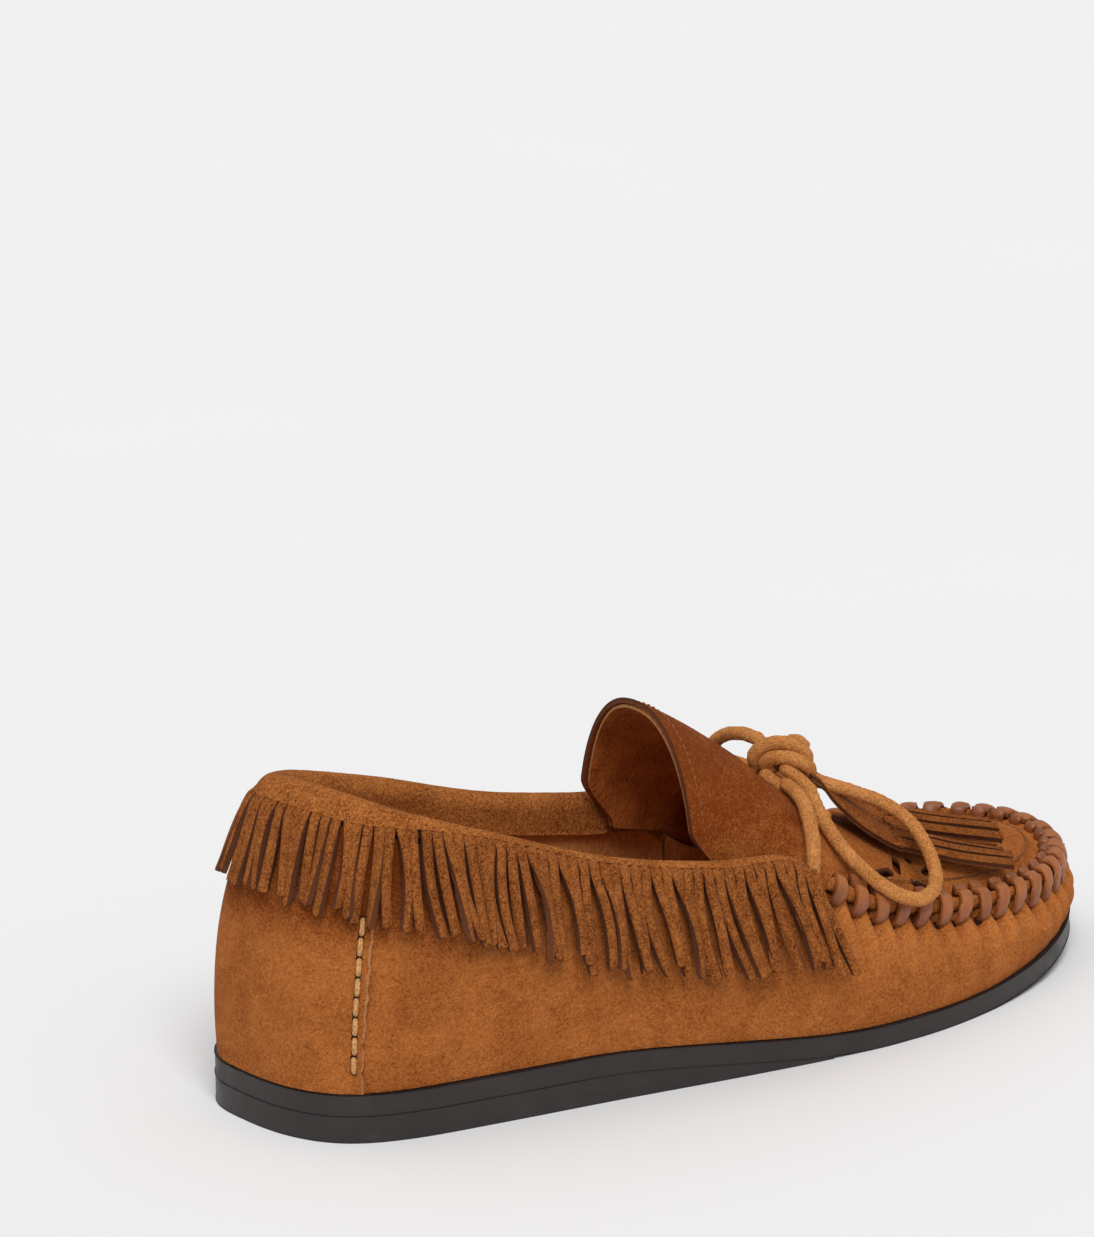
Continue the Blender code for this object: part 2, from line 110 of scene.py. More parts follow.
LOOP_INNER = [(121.8, 8.5, 70.6), (121.5, 15, 70.2), (121.6, 23, 67.6), (123, 30.5, 62.6), (126.3, 37, 54.8),
              (131, 41.2, 46.5), (137, 43.2, 41), (142.5, 42, 39.6), (146, 37.5, 42), (146, 31, 46.2),
              (141.5, 25, 51), (135.5, 20.5, 55), (130, 16.2, 58.8), (126.5, 12.4, 61.8), (125.2, 9, 63.2)]
TASSEL_OUTER = [(132.5, -7), (144, -13.5), (163, -17.8), (182.5, -18.4)]
TASSEL_INNER = [(133, 2), (148, -0.8), (168, -5), (187, -7)]

# ------------------------------------------------------------ camera, floor and light
CAMERA_AZIMUTH, CAMERA_HEIGHT = math.radians(-34), math.radians(20)
CAMERA_AIM = Vector((0.090, 0.0, 0.035))
CAMERA_DISTANCE = 1.8
LENS = 200.6
SHOE_RIGHT_OF_MIDDLE, SHOE_BELOW_MIDDLE = 0.0334, 0.0730


def make_camera():
    back = Vector((math.sin(CAMERA_AZIMUTH) * math.cos(CAMERA_HEIGHT),
                   -math.cos(CAMERA_AZIMUTH) * math.cos(CAMERA_HEIGHT), math.sin(CAMERA_HEIGHT)))
    right = Vector((math.cos(CAMERA_AZIMUTH), math.sin(CAMERA_AZIMUTH), 0))
    up = back.cross(right)
    place = CAMERA_AIM + back * CAMERA_DISTANCE
    middle = CAMERA_AIM - right * SHOE_RIGHT_OF_MIDDLE + up * SHOE_BELOW_MIDDLE
    look = (place - middle).normalized()
    right = (right - look * right.dot(look)).normalized()
    turn = Matrix((right, look.cross(right), look)).transposed()
    camera = bpy.data.objects.new("camera", bpy.data.cameras.new("camera"))
    camera.data.lens = LENS
    camera.data.clip_end = 20
    camera.matrix_world = Matrix.Translation(place) @ turn.to_4x4()
    bpy.context.scene.collection.objects.link(camera)
    bpy.context.scene.camera = camera


def add_sun(name, from_place, strength, softness):
    lamp = bpy.data.lights.new(name, "SUN")
    lamp.energy, lamp.angle = strength, math.radians(softness)
    obj = bpy.data.objects.new(name, lamp)
    obj.rotation_euler = Vector(from_place).to_track_quat("Z", "Y").to_euler()
    bpy.context.scene.collection.objects.link(obj)


def make_studio():
    bpy.context.scene.view_settings.view_transform = "Standard"
    world = bpy.data.worlds.new("studio")
    bpy.context.scene.world = world
    world.use_nodes = True
    world.node_tree.nodes["Background"].inputs["Color"].default_value = (1, 1, 1, 1)
    world.node_tree.nodes["Background"].inputs["Strength"].default_value = 0.50
    add_sun("key", (-0.35, -0.72, 1.05), 1.9, 30)
    add_sun("top", (-0.3, 0.3, 1.0), 0.35, 60)
    bm = bmesh.new()
    bmesh.ops.create_grid(bm, x_segments=2, y_segments=2, size=8)
    floor = finish("floor", bm, [pale_floor()], closed=False)


# ------------------------------------------------------------ shader maths
class Wire:
    """An output socket with arithmetic, and one way to add any other node after it."""

    def __init__(self, tree, socket=None):
        self.tree, self.socket = tree, socket

    def node(self, kind, settings=None, output=0, **inputs):
        made = self.tree.nodes.new("ShaderNode" + kind)
        for key, value in (settings or {}).items():
            if key == "stops":
                for index, (position, grey) in enumerate(value):
                    stop = (made.color_ramp.elements[index] if index < 2
                            else made.color_ramp.elements.new(position))
                    stop.position, stop.color = position, (grey, grey, grey, 1)
            else:
                setattr(made, key, value)
        for key, value in inputs.items():
            socket = made.inputs[int(key[1:]) if key[1:].isdigit() else key.replace("_", " ")]
            if isinstance(value, Wire):
                self.tree.links.new(value.socket, socket)
            else:
                socket.default_value = value
        return Wire(self.tree, made.outputs[output])

    def maths(self, operation, *values, clamp=False):
        inputs = {"i%d" % index: value for index, value in enumerate(values)}
        return self.node("Math", {"operation": operation, "use_clamp": clamp}, **inputs)

    def __add__(self, other):
        return self.maths("ADD", self, other)

    def __sub__(self, other):
        return self.maths("SUBTRACT", self, other)

    def __rsub__(self, other):
        return self.maths("SUBTRACT", other, self)

    def __mul__(self, other):
        return self.maths("MULTIPLY", self, other)

    def __truediv__(self, other):
        return self.maths("DIVIDE", self, other)

    __radd__, __rmul__ = __add__, __mul__

    def clamped(self):
        return self.maths("ADD", self, 0.0, clamp=True)

    def spread(self, low, high):
        """0 below low, 1 above high, smooth between."""
        return self.node("MapRange", {"interpolation_type": "SMOOTHSTEP"}, Value=self,
                         From_Min=low, From_Max=high)

    def between(self, dark, light):
        """Colour between two, by this value."""
        return self.node("Mix", {"data_type": "RGBA"}, 2, Factor=self, i6=(*dark, 1), i7=(*light, 1))


class Finish:
    """A material under way: its shader, its place in millimetres and its bumps."""

    def __init__(self, name, roughness=0.5, **constants):
        self.material = bpy.data.materials.new(name)
        self.material.use_nodes = True
        tree = self.material.node_tree
        self.shader = tree.nodes["Principled BSDF"]
        self.shader.inputs["Roughness"].default_value = roughness
        for key, value in constants.items():
            self.shader.inputs[key.replace("_", " ")].default_value = value
        self.wire = Wire(tree)
        coord = self.wire.node("TexCoord", output=3)
        self.place = coord.node("VectorMath", {"operation": "SCALE"}, i0=coord, Scale=1000.0)
        self.bumped = None

    def noise(self, size, detail=2.0, warp=0.0, stretch=(1, 1, 1), rough=0.5):
        """Soft noise with features about size mm apart."""
        place = self.place
        if stretch != (1, 1, 1):
            place = place.node("VectorMath", {"operation": "MULTIPLY"}, i0=place, i1=stretch)
        return place.node("TexNoise", Vector=place, Scale=1.0 / size, Detail=detail, Distortion=warp,
                          Roughness=rough)

    def cells(self, size, feature="F1"):
        return self.place.node("TexVoronoi", {"feature": feature}, Vector=self.place, Scale=1.0 / size)

    def axis(self, index):
        """Place along X, Y or Z in mm."""
        return self.place.node("SeparateXYZ", None, index, Vector=self.place)

    def attribute(self, name):
        return self.wire.node("Attribute", {"attribute_name": name}, 2)

    def colour(self, wire):
        self.wire.tree.links.new(wire.socket, self.shader.inputs["Base Color"])

    def roughness(self, wire):
        self.wire.tree.links.new(wire.socket, self.shader.inputs["Roughness"])

    def bump(self, height, depth, strength=1.0):
        """Adds a bump of that depth in mm, over the ones already there."""
        inputs = {"Height": height, "Distance": depth * MM, "Strength": strength}
        if self.bumped is not None:
            inputs["Normal"] = self.bumped
        self.bumped = self.wire.node("Bump", **inputs)

    def done(self):
        if self.bumped is not None:
            self.wire.tree.links.new(self.bumped.socket, self.shader.inputs["Normal"])
        return self.material


# ------------------------------------------------------------ finishes, each made once
def brushed_suede(name, dark, light, patch=18.0, speckle=1.3, size=0.75, nap=1.0, darker=None):
    """Suede: brushed patches, short strokes, fibre grain, and a dusty sheen."""
    f = Finish(name, 0.95, Sheen_Weight=0.05, Sheen_Roughness=0.5, Specular_IOR_Level=0.08,
               Sheen_Tint=(*[min(1, 1.5 * c + 0.1) for c in light], 1))
    patches = f.noise(patch, 3, 1.0).spread(0.3, 0.7)
    strokes = f.noise(4.0, 4, 0.5, stretch=(0.7, 0.8, 1.2))
    grain = f.noise(size, 2, 0.2, rough=0.7)
    fibre = f.noise(size * 0.4, 2, 0.4, stretch=(0.7, 1, 1.3), rough=0.7)
    mix = (0.5 + 0.20 * (patches - 0.5) + 0.42 * (strokes - 0.5) + speckle * (grain - 0.5)
           + speckle * 0.9 * (fibre - 0.5))
    # Painted shade on the tongue's outer face, and painted light on the wrapper's puckers: lighter on their
    # ridges, darker in their pinches.
    if darker is not None:
        mix = mix - darker(f) + 0.20 * f.attribute("pucker_painted_light")
    f.colour(mix.clamped().between(dark, light))
    f.bump(grain, 0.55 * nap, 0.9)
    f.bump(fibre, 0.30 * nap, 0.9)
    return f.done()


def tongue_nap_and_painted_shade(f):
    """The tongue's outer face is painted darker, partly for its nap brushed the other way and partly as
    painted shade.
    """
    return 0.44 * f.axis(2).spread(48, 64) * (1 - f.axis(0).spread(117, 128))


@cache
def upper_suede():
    return brushed_suede("upper_suede", (0.18, 0.035, 0.004), (0.59, 0.20, 0.048), darker=tongue_nap_and_painted_shade)


@cache
def collar_suede():
    return brushed_suede("collar_suede", (0.16, 0.028, 0.003), (0.70, 0.25, 0.060), speckle=1.9, size=0.7,
                         nap=1.7)


@cache
def lace_suede():
    return brushed_suede("lace_suede", (0.38, 0.115, 0.018), (0.92, 0.40, 0.13), patch=9.0, speckle=1.5,
                         size=0.65, nap=1.6)


@cache
def fringe_suede():
    return brushed_suede("fringe_suede", (0.12, 0.020, 0.002), (0.56, 0.19, 0.045), patch=7.0, speckle=1.9,
                         size=0.65, nap=1.6)


@cache
def tassel_suede():
    return brushed_suede("tassel_suede", (0.10, 0.018, 0.002), (0.44, 0.14, 0.032), patch=7.0, speckle=1.7,
                         size=0.65, nap=1.5)


@cache
def cut_side_and_gap_shade():
    """Freshly cut side of suede: fibrous, in layers and redder than the face; darker partly in its own
    colour and partly as painted shade in the gaps between strips.
    """
    f = Finish("cut_side_and_gap_shade", 0.95, Specular_IOR_Level=0.2)
    layers = f.noise(0.5, 3, 0.5, stretch=(0.4, 0.4, 1.6))
    speck = f.noise(0.22, 2, rough=0.7)
    mix = (0.7 * layers + 0.6 * (speck - 0.3)).clamped()
    f.colour(mix.between((0.040, 0.010, 0.004), (0.20, 0.068, 0.027)))
    f.bump(layers, 0.25)
    f.bump(speck, 0.12)
    return f.done()


@cache
def raw_edge():
    """Pale raw edge of the heel panel and the collar's cut ends."""
    f = Finish("raw_edge", 0.95, Specular_IOR_Level=0.2)
    speck = f.noise(0.4, 3, 0.4, rough=0.7)
    f.colour(speck.spread(0.3, 0.7).between((0.22, 0.075, 0.02), (0.56, 0.27, 0.11)))
    f.bump(speck, 0.25)
    return f.done()


@cache
def lining_leather():
    """Smooth, lightly pebbled leather with fine creases and worn darker places."""
    f = Finish("lining_leather", 0.5, Specular_IOR_Level=0.35)
    cloud = f.noise(18, 3, 1.0).spread(0.3, 0.7)
    pebble = f.cells(0.9, "DISTANCE_TO_EDGE")
    crease = f.noise(3.4, 4, 1.6, stretch=(1.2, 0.7, 0.7)).spread(0.42, 0.60)
    mix = (0.5 * cloud + 0.18 * crease + 0.25 * f.noise(0.8, 3) + 0.08).clamped()
    f.colour(mix.between((0.42, 0.14, 0.032), (0.80, 0.36, 0.13)))
    f.roughness(0.44 + 0.22 * cloud)
    f.bump(crease, 0.35, 0.5)
    f.bump(pebble.spread(0.0, 0.25), 0.07, 0.8)
    return f.done()


@cache
def tongue_leather():
    """Darker smooth side of the tongue, grained and creased where it bends."""
    f = Finish("tongue_leather", 0.55, Specular_IOR_Level=0.3)
    cloud = f.noise(15, 3, 1.0).spread(0.3, 0.7)
    pebble = f.cells(0.8, "DISTANCE_TO_EDGE")
    crease = f.noise(2.6, 4, 1.8, stretch=(1.4, 0.6, 0.8)).spread(0.40, 0.60)
    mix = (0.5 * cloud + 0.22 * crease + 0.2 * f.noise(0.7, 3) + 0.05).clamped()
    f.colour(mix.between((0.22, 0.042, 0.004), (0.52, 0.15, 0.026)))
    f.roughness(0.5 + 0.2 * cloud)
    f.bump(crease, 0.45, 0.6)
    f.bump(pebble.spread(0.0, 0.25), 0.08, 0.8)
    return f.done()


@cache
def stitch_leather():
    """Smooth waxed strip of the whip seam, with a painted highlight where it bends over the seam."""
    f = Finish("stitch_leather", 0.42, Coat_Weight=0.15, Coat_Roughness=0.3, Specular_IOR_Level=0.4)
    cloud = f.noise(3.5, 3, 0.6).spread(0.3, 0.7)
    painted_band_highlight = f.attribute("painted_band_highlight")
    pores = f.noise(0.35, 2, rough=0.7)
    mix = (0.25 * cloud + 0.45 * painted_band_highlight + 0.3 * (pores - 0.4)).clamped()
    f.colour(mix.between((0.12, 0.026, 0.005), (0.47, 0.150, 0.038)))
    f.roughness(0.36 + 0.25 * pores)
    f.bump(cloud, 0.12)
    f.bump(pores, 0.05)
    return f.done()


# Painted shade: the near-black finish of the plugs that stand for punched holes.
@cache
def hole_painted_shade():
    f = Finish("hole_painted_shade", 0.95, Specular_IOR_Level=0.1)
    f.colour(f.noise(0.5).between((0.012, 0.005, 0.003), (0.045, 0.017, 0.008)))
    return f.done()


@cache
def sole_leather():
    """Waxed near-black sole edge with faint grain, dust and scuffs."""
    f = Finish("sole_leather", 0.42, Specular_IOR_Level=0.45)
    dust = f.noise(14, 4, 0.8).spread(0.4, 0.75)
    fine = f.noise(0.6, 3, stretch=(0.35, 0.35, 2.2), rough=0.65)
    scuff = f.noise(2.2, 5, 2.0, stretch=(0.4, 0.4, 2.0)).spread(0.62, 0.72)
    mix = (0.3 * dust + 0.25 * fine + 0.3 * scuff).clamped()
    f.colour(mix.between((0.014, 0.0095, 0.0095), (0.050, 0.037, 0.034)))
    f.roughness(0.36 + 0.2 * dust + 0.12 * fine)
    f.bump(fine, 0.06, 0.8)
    f.bump(scuff, 0.05, 0.5)
    return f.done()


@cache
def waxed_thread():
    """Heavy waxed thread with lighter and darker strands."""
    f = Finish("waxed_thread", 0.55, Specular_IOR_Level=0.35)
    twist = f.noise(0.35, 2, 0.4, stretch=(1.2, 1.2, 0.5)).spread(0.3, 0.7)
    f.colour(twist.between((0.38, 0.16, 0.045), (0.76, 0.42, 0.16)))
    f.bump(twist, 0.12)
    return f.done()


@cache
def fine_thread():
    f = Finish("fine_thread", 0.6, Specular_IOR_Level=0.3)
    twist = f.noise(0.3, 2)
    f.colour(twist.between((0.10, 0.032, 0.009), (0.30, 0.12, 0.04)))
    f.bump(twist, 0.08)
    return f.done()


@cache
def cork_sheet():
    f = Finish("cork_sheet", 0.9, Specular_IOR_Level=0.2)
    granule = f.cells(2.2)
    mix = (0.6 * f.noise(1.6, 3) + 0.5 * granule).clamped()
    f.colour(mix.between((0.17, 0.08, 0.033), (0.52, 0.32, 0.16)))
    f.bump(f.cells(2.2, "DISTANCE_TO_EDGE").spread(0, 0.2), 0.15)
    return f.done()


@cache
def fibre_board():
    f = Finish("fibre_board", 0.85, Specular_IOR_Level=0.25)
    fibre = f.noise(1.2, 4, 1.5, stretch=(0.3, 1, 1))
    f.colour(fibre.spread(0.3, 0.7).between((0.30, 0.20, 0.11), (0.52, 0.39, 0.25)))
    f.bump(fibre, 0.08)
    return f.done()


@cache
def heel_foam():
    f = Finish("heel_foam", 0.95, Specular_IOR_Level=0.15)
    pores = f.cells(0.7)
    f.colour(pores.between((0.45, 0.37, 0.25), (0.80, 0.71, 0.55)))
    f.bump(pores, 0.2)
    return f.done()


@cache
def spring_steel():
    f = Finish("spring_steel", 0.35, Metallic=1.0)
    brush = f.noise(0.5, 3, stretch=(0.05, 2, 2))
    f.colour(brush.between((0.36, 0.36, 0.37), (0.58, 0.58, 0.57)))
    f.roughness(0.28 + 0.2 * brush)
    return f.done()


@cache
def pale_floor():
    f = Finish("pale_floor", 0.9, Specular_IOR_Level=0.1)
    f.colour(f.noise(180, 2).between((0.80, 0.80, 0.80), (0.83, 0.83, 0.83)))
    return f.done()


# ------------------------------------------------------------ the shoe's surfaces
def smooth(t):
    t = np.clip(t, 0.0, 1.0)
    return t * t * (3 - 2 * t)


def ring(points, u):
    """Closed Catmull-Rom curve through the points, at station numbers u."""
    p = np.asarray(points, float)
    u = np.asarray(u, float)
    i = np.floor(u).astype(int)
    t = (u - i)[..., None]
    a, b, c, d = (p[(i + k) % len(p)] for k in (-1, 0, 1, 2))
    return 0.5 * (2 * b + (c - a) * t + (2 * a - 5 * b + 4 * c - d) * t**2 + (3 * b - a - 3 * c + d) * t**3)


def through(points, n):
    """Open smooth curve through a few points, as n points."""
    p = np.asarray(points, float)
    p = np.vstack([2 * p[0] - p[1], p, 2 * p[-1] - p[-2]])
    return ring(p, np.linspace(1, len(p) - 2 - 1e-6, n))


def run_of(line):
    """Distance along a line at each of its points."""
    return np.concatenate([[0], np.cumsum(np.linalg.norm(np.diff(line, axis=0), axis=1))])


def evenly(line, step):
    """A line's points spaced evenly, about step mm apart."""
    run = run_of(line)
    at = np.linspace(0, run[-1], max(2, int(round(run[-1] / step)) + 1))
    return np.stack([np.interp(at, run, line[:, k]) for k in range(line.shape[1])], -1)


def unit(v):
    return v / np.linalg.norm(v, axis=-1, keepdims=True)


OUTLINE = [(s[0], s[1]) for s in STATIONS]
TOPLINE = [s[2:] for s in STATIONS]


def spring(x):
    return TOE_SPRING * np.clip((x - SPRING_START) / (SPRING_END - SPRING_START), 0, None) ** 2


def tread_z(x):
    drop = HEEL_TOP - SOLE_THICK
    return drop * (1 - smooth((x - WEDGE_START) / (WEDGE_END - WEDGE_START))) + spring(x)


def sole_z(x):
    return tread_z(x) + SOLE_THICK


def outward(u):
    step = ring(OUTLINE, u + NEARBY) - ring(OUTLINE, u - NEARBY)
    return unit(np.stack([step[..., 1], -step[..., 0]], -1))


def edge(u, inset=0.0):
    return ring(OUTLINE, u) - inset * outward(u)


def wall(u, v):
    """Outer face of the upper: v is 0 at the sole and 1 at the top edge."""
    u, v = np.broadcast_arrays(np.asarray(u, float), np.asarray(v, float))
    foot, n = edge(u, FEATHER_INSET), outward(u)
    top = ring(TOPLINE, u)
    low = sole_z(foot[..., 0]) + GAP
    high = top[..., 2]
    lean = np.sum((foot - top[..., :2]) * n, -1, keepdims=True)
    p = [foot, foot + WALL_BELLY * n, top[..., :2] + 0.8 * lean * n, top[..., :2]]
    z = [low, low + 0.35 * (high - low), high - 0.3 * (high - low), high]
    w = [(1 - v) ** 3, 3 * v * (1 - v) ** 2, 3 * v * v * (1 - v), v ** 3]
    xy = sum(a[..., None] * b for a, b in zip(w, p))
    return np.concatenate([xy, sum(a * b for a, b in zip(w, z))[..., None]], -1)


def wall_frame(u, v):
    """Point, outward normal and upward direction on the upper's outer face."""
    here = wall(u, v)
    along = wall(u + NEARBY, v) - wall(u - NEARBY, v)
    up = wall(u, np.asarray(v) + 0.01) - wall(u, np.asarray(v) - 0.01)
    return here, unit(np.cross(along, up)), unit(up)


def wall_point(u, v, d):
    here, n, _ = wall_frame(u, v)
    return here + np.asarray(d)[..., None] * n


def wall_runs(u, v):
    """Distance along the wall from its first v, for each station u."""
    lines = wall(u[:, None], v[None, :])
    runs = np.cumsum(np.linalg.norm(np.diff(lines, axis=1), axis=2), axis=1)
    return np.concatenate([np.zeros((len(u), 1)), runs], 1)


def below_top(u, mm):
    """v of the point that lies mm below the top edge, measured along the wall."""
    v = np.linspace(1, 0, 61)
    u, mm = np.broadcast_arrays(np.asarray(u, float), np.asarray(mm, float))
    runs = wall_runs(u.reshape(-1), v)
    found = [np.interp(a, run, v) for a, run in zip(mm.reshape(-1), runs)]
    return np.array(found).reshape(u.shape)


def wall_height(u, v):
    """How many mm a point lies under the top edge, along the wall."""
    steps = np.linspace(0, 1, 41)
    return np.stack([run[-1] - np.interp(row, steps, run) for row, run in zip(v, wall_runs(u, steps))])


def from_heel(u):
    """Station number counted from the heel, below zero on the inner side."""
    return (u + LAST / 2) % LAST - LAST / 2


def at_front(u):
    """1 along the apron seam, 0 along the collar."""
    return smooth((u - APRON_FROM) / APRON_FADE) * smooth((APRON_TO - u) / APRON_FADE)


SEAM_U = np.linspace(7.0, 22.0, 601)
SEAM = ring(TOPLINE, SEAM_U)
OUTER = SEAM[SEAM_U <= TOE]
INNER = SEAM[SEAM_U >= TOE][::-1]
RIDGE_X, RIDGE_Z = through(RIDGE, 200).T


def saddle_sides(x):
    """Side edges of the apron and tongue at x: outer y, z and inner y, z."""
    yo, zo = np.interp(x, OUTER[:, 0], OUTER[:, 1]), np.interp(x, OUTER[:, 0], OUTER[:, 2])
    yi, zi = np.interp(x, INNER[:, 0], INNER[:, 1]), np.interp(x, INNER[:, 0], INNER[:, 2])
    k = smooth((HINGE_X + 6 - x) / 22)
    half = np.interp(x, [78, 100, 121], [27.8, 28.7, 31.4])
    leg = np.interp(x, [78, 100, 121], [50, 44.5, 40.5])
    return yo + k * (-half - yo), zo + k * (leg - zo), yi + k * (half - yi), zi + k * (leg - zi)


def bulge(q):
    """Section across the tongue and apron: 1 in the middle and 0 at both sides."""
    return np.clip(1 - np.abs(q) ** 2.3, 0, 1)


def saddle_face(x, q, edge_in=0.0):
    """Point of the tongue's or apron's upper face, q from -1 (outer edge) to 1."""
    yo, zo, yi, zi = saddle_sides(x)
    yo, yi = yo + edge_in, yi - edge_in
    t = (q + 1) / 2
    side = zo + t * (zi - zo)
    crown = np.interp(x, RIDGE_X, RIDGE_Z) - (zo + zi) / 2
    power = 1 - 0.52 * smooth((150 - x) / 62)
    z = side + crown * bulge(q) ** power
    return np.stack([x, yo + t * (yi - yo), z], -1)


def saddle(x, q, d=0.0, edge_in=0.0):
    """Upper face of the tongue and apron, moved out by d."""
    x, q = np.broadcast_arrays(np.asarray(x, float), np.asarray(q, float))
    e = 1e-3
    here = saddle_face(x, q, edge_in)
    n = unit(np.cross(saddle_face(x + 0.1, q, edge_in) - saddle_face(x - 0.1, q, edge_in),
                      saddle_face(x, np.clip(q + e, -1, 1), edge_in)
                      - saddle_face(x, np.clip(q - e, -1, 1), edge_in)))
    return here + np.asarray(d)[..., None] * n


def saddle_z(x, y):
    """Height of the tongue and apron over a point."""
    yo, _, yi, _ = saddle_sides(np.asarray(x, float))
    q = np.clip(2 * (y - yo) / (yi - yo) - 1, -1, 1)
    return saddle_face(np.asarray(x, float), q)[..., 2]


def from_seam(xy):
    """Distance of points from the apron seam, seen from above."""
    flat = xy.reshape(-1, 2)
    best = np.full(len(flat), 1e9)
    for part in np.array_split(np.arange(len(SEAM)), 12):
        d = np.linalg.norm(flat[:, None, :] - SEAM[None, part, :2], axis=2).min(1)
        best = np.minimum(best, d)
    return best.reshape(xy.shape[:-1])


# ------------------------------------------------------------ mesh makers
def finish(name, bm, materials, sharp=42, closed=True):
    """Makes the object of a mesh, with edges over that many degrees kept sharp."""
    if closed:
        bmesh.ops.recalc_face_normals(bm, faces=bm.faces[:])
    mesh = bpy.data.meshes.new(name)
    bm.to_mesh(mesh)
    bm.free()
    mesh.shade_smooth()
    mesh.set_sharp_from_angle(angle=math.radians(sharp))
    for mat in materials:
        mesh.materials.append(mat)
    obj = bpy.data.objects.new(name, mesh)
    bpy.context.scene.collection.objects.link(obj)
    return obj


def add_slab(bm, lower, upper, rim=0, round_off=0.0):
    """Adds a closed sheet between two grids of points, with its own rim material."""
    rows, cols = lower.shape[:2]

    def cell(v):
        return round((v.co.y + 1) / 2 * (rows - 1)) * cols + round((v.co.x + 1) / 2 * (cols - 1))

    made = bmesh.ops.create_grid(bm, x_segments=cols - 1, y_segments=rows - 1, size=1)["verts"]
    number = {v: cell(v) for v in made}
    faces = list({f for v in made for f in v.link_faces})
    new = bmesh.ops.extrude_face_region(bm, geom=faces, use_keep_orig=True)["geom"]
    tops = [v for v in new if isinstance(v, bmesh.types.BMVert)]
    number.update({v: cell(v) for v in tops})
    flat_low, flat_high = lower.reshape(-1, 3) * MM, upper.reshape(-1, 3) * MM
    for v in made:
        v.co = flat_low[number[v]]
    for v in tops:
        v.co = flat_high[number[v]]
    upper_set = set(tops)
    sides = {f for v in number for f in v.link_faces
             if 0 < sum(w in upper_set for w in f.verts) < len(f.verts)}
    for f in sides:
        f.material_index = rim
    if round_off:
        border = [e for e in {e for f in sides for e in f.edges}
                  if sum(f in sides for f in e.link_faces) == 1]
        bmesh.ops.bevel(bm, geom=border, offset=round_off * MM, segments=2, profile=0.5,
                        affect="EDGES", material=-1)


def slab(name, lower, upper, materials, rim=0, round_off=0.0):
    """One closed sheet as an object of its own."""
    bm = bmesh.new()
    add_slab(bm, lower, upper, rim, round_off)
    bmesh.ops.remove_doubles(bm, verts=bm.verts[:], dist=1e-6)
    return finish(name, bm, materials)


def frames_along(line, hint=(0, 0, 1)):
    """Two directions across a line at each of its points, turning as little as possible."""
    step = unit(np.gradient(line, axis=0))
    side = np.cross(step[0], hint)
    side = side / np.linalg.norm(side)
    sides = []
    for t in step:
        side = side - t * np.dot(side, t)
        side = side / np.linalg.norm(side)
        sides.append(side)
    sides = np.array(sides)
    return sides, np.cross(step, sides)


DOME_RINGS, DOME_HEIGHT = 5, 0.8
ROPE_SHARP = 80


def add_rope(bm, line, wide, high=None, around=20, fuzz=0.0, hint=(0, 0, 1), lumps=0.0):
    """Adds a round or flattened cord along a line, with domed ends: a grid wrapped round it."""
    high = wide if high is None else high
    wide, high = np.broadcast_to(wide, len(line)), np.broadcast_to(high, len(line))
    a, b = frames_along(line, hint)
    step = unit(np.gradient(line, axis=0))
    dome = np.linspace(0, math.pi / 2, DOME_RINGS + 1)[:-1]
    start = [(line[0] - step[0] * wide[0] * DOME_HEIGHT * math.cos(t), math.sin(t), 0) for t in dome]
    stop = [(line[-1] + step[-1] * wide[-1] * DOME_HEIGHT * math.cos(t), math.sin(t), len(line) - 1)
            for t in dome[::-1]]
    rows = start + [(p, 1.0, i) for i, p in enumerate(line)] + stop
    made = bmesh.ops.create_grid(bm, x_segments=around, y_segments=len(rows) - 1, size=1)["verts"]
    turn = np.linspace(0, 2 * math.pi, around + 1)
    phase = rng.random(4) * 6.28
    for v in made:
        row = round((v.co.y + 1) / 2 * (len(rows) - 1))
        col = round((v.co.x + 1) / 2 * around) % around
        p, k, i = rows[row]
        t = turn[col]
        r = 1 + fuzz * (rng.random() - 0.5) + lumps * (math.sin(0.9 * i + 2 * t + phase[0])
                                                       + math.sin(0.37 * i - t + phase[1]))
        v.co = (p + k * r * (math.cos(t) * wide[i] * a[i] + math.sin(t) * high[i] * b[i])) * MM
    bmesh.ops.remove_doubles(bm, verts=made, dist=2e-6)


def rope(name, line, wide, material, **shape):
    bm = bmesh.new()
    add_rope(bm, line, wide, **shape)
    return finish(name, bm, [material], ROPE_SHARP)


def add_hole(bm, spot, turn, radii, depth, segments, flat=1.0):
    """Adds a plug in the second material, painted dark as the shade inside a punched hole."""
    place = Matrix.Translation(Vector(spot) * MM) @ turn @ Matrix.Diagonal((1, flat, 1, 1))
    made = bmesh.ops.create_cone(bm, cap_ends=True, segments=segments, radius1=radii[0] * MM,
                                 radius2=radii[1] * MM, depth=depth * MM, matrix=place)["verts"]
    for f in {f for w in made for f in w.link_faces}:
        f.material_index = 1


def ride(obj, body, slot, *nodes):
    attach(obj, body)
    if nodes:
        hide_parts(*nodes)


def bend(obj, slot, *nodes):
    """Hides the CAD pieces it stands for and bakes its placement into its mesh."""
    if nodes:
        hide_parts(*nodes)
    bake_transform(obj)


# ------------------------------------------------------------ lace and bow
def make_laces():
    """The free stretches of the lace: two risers and two bow loops, each a cord of its own."""
    routes = {"riser_outer": (RISER_OUTER, "shoe", "taut"),
              "riser_inner": (RISER_INNER, "shoe", "taut"),
              "loop_outer": (LOOP_OUTER, "loop_outer", "loose"),
              "loop_inner": (LOOP_INNER, "loop_inner", "loose")}
    for node, (route, body, lay) in routes.items():
        line = evenly(through(route, 200), 0.42)
        obj = rope(node + "_lace", line, LACE_R * 1.05, lace_suede(), high=LACE_R * 0.97, around=26,
                   fuzz=0.11, lumps=0.018)
        ride(obj, body, "lace_suede", node)
        path = evenly(through(route, 200), 3.0) * MM


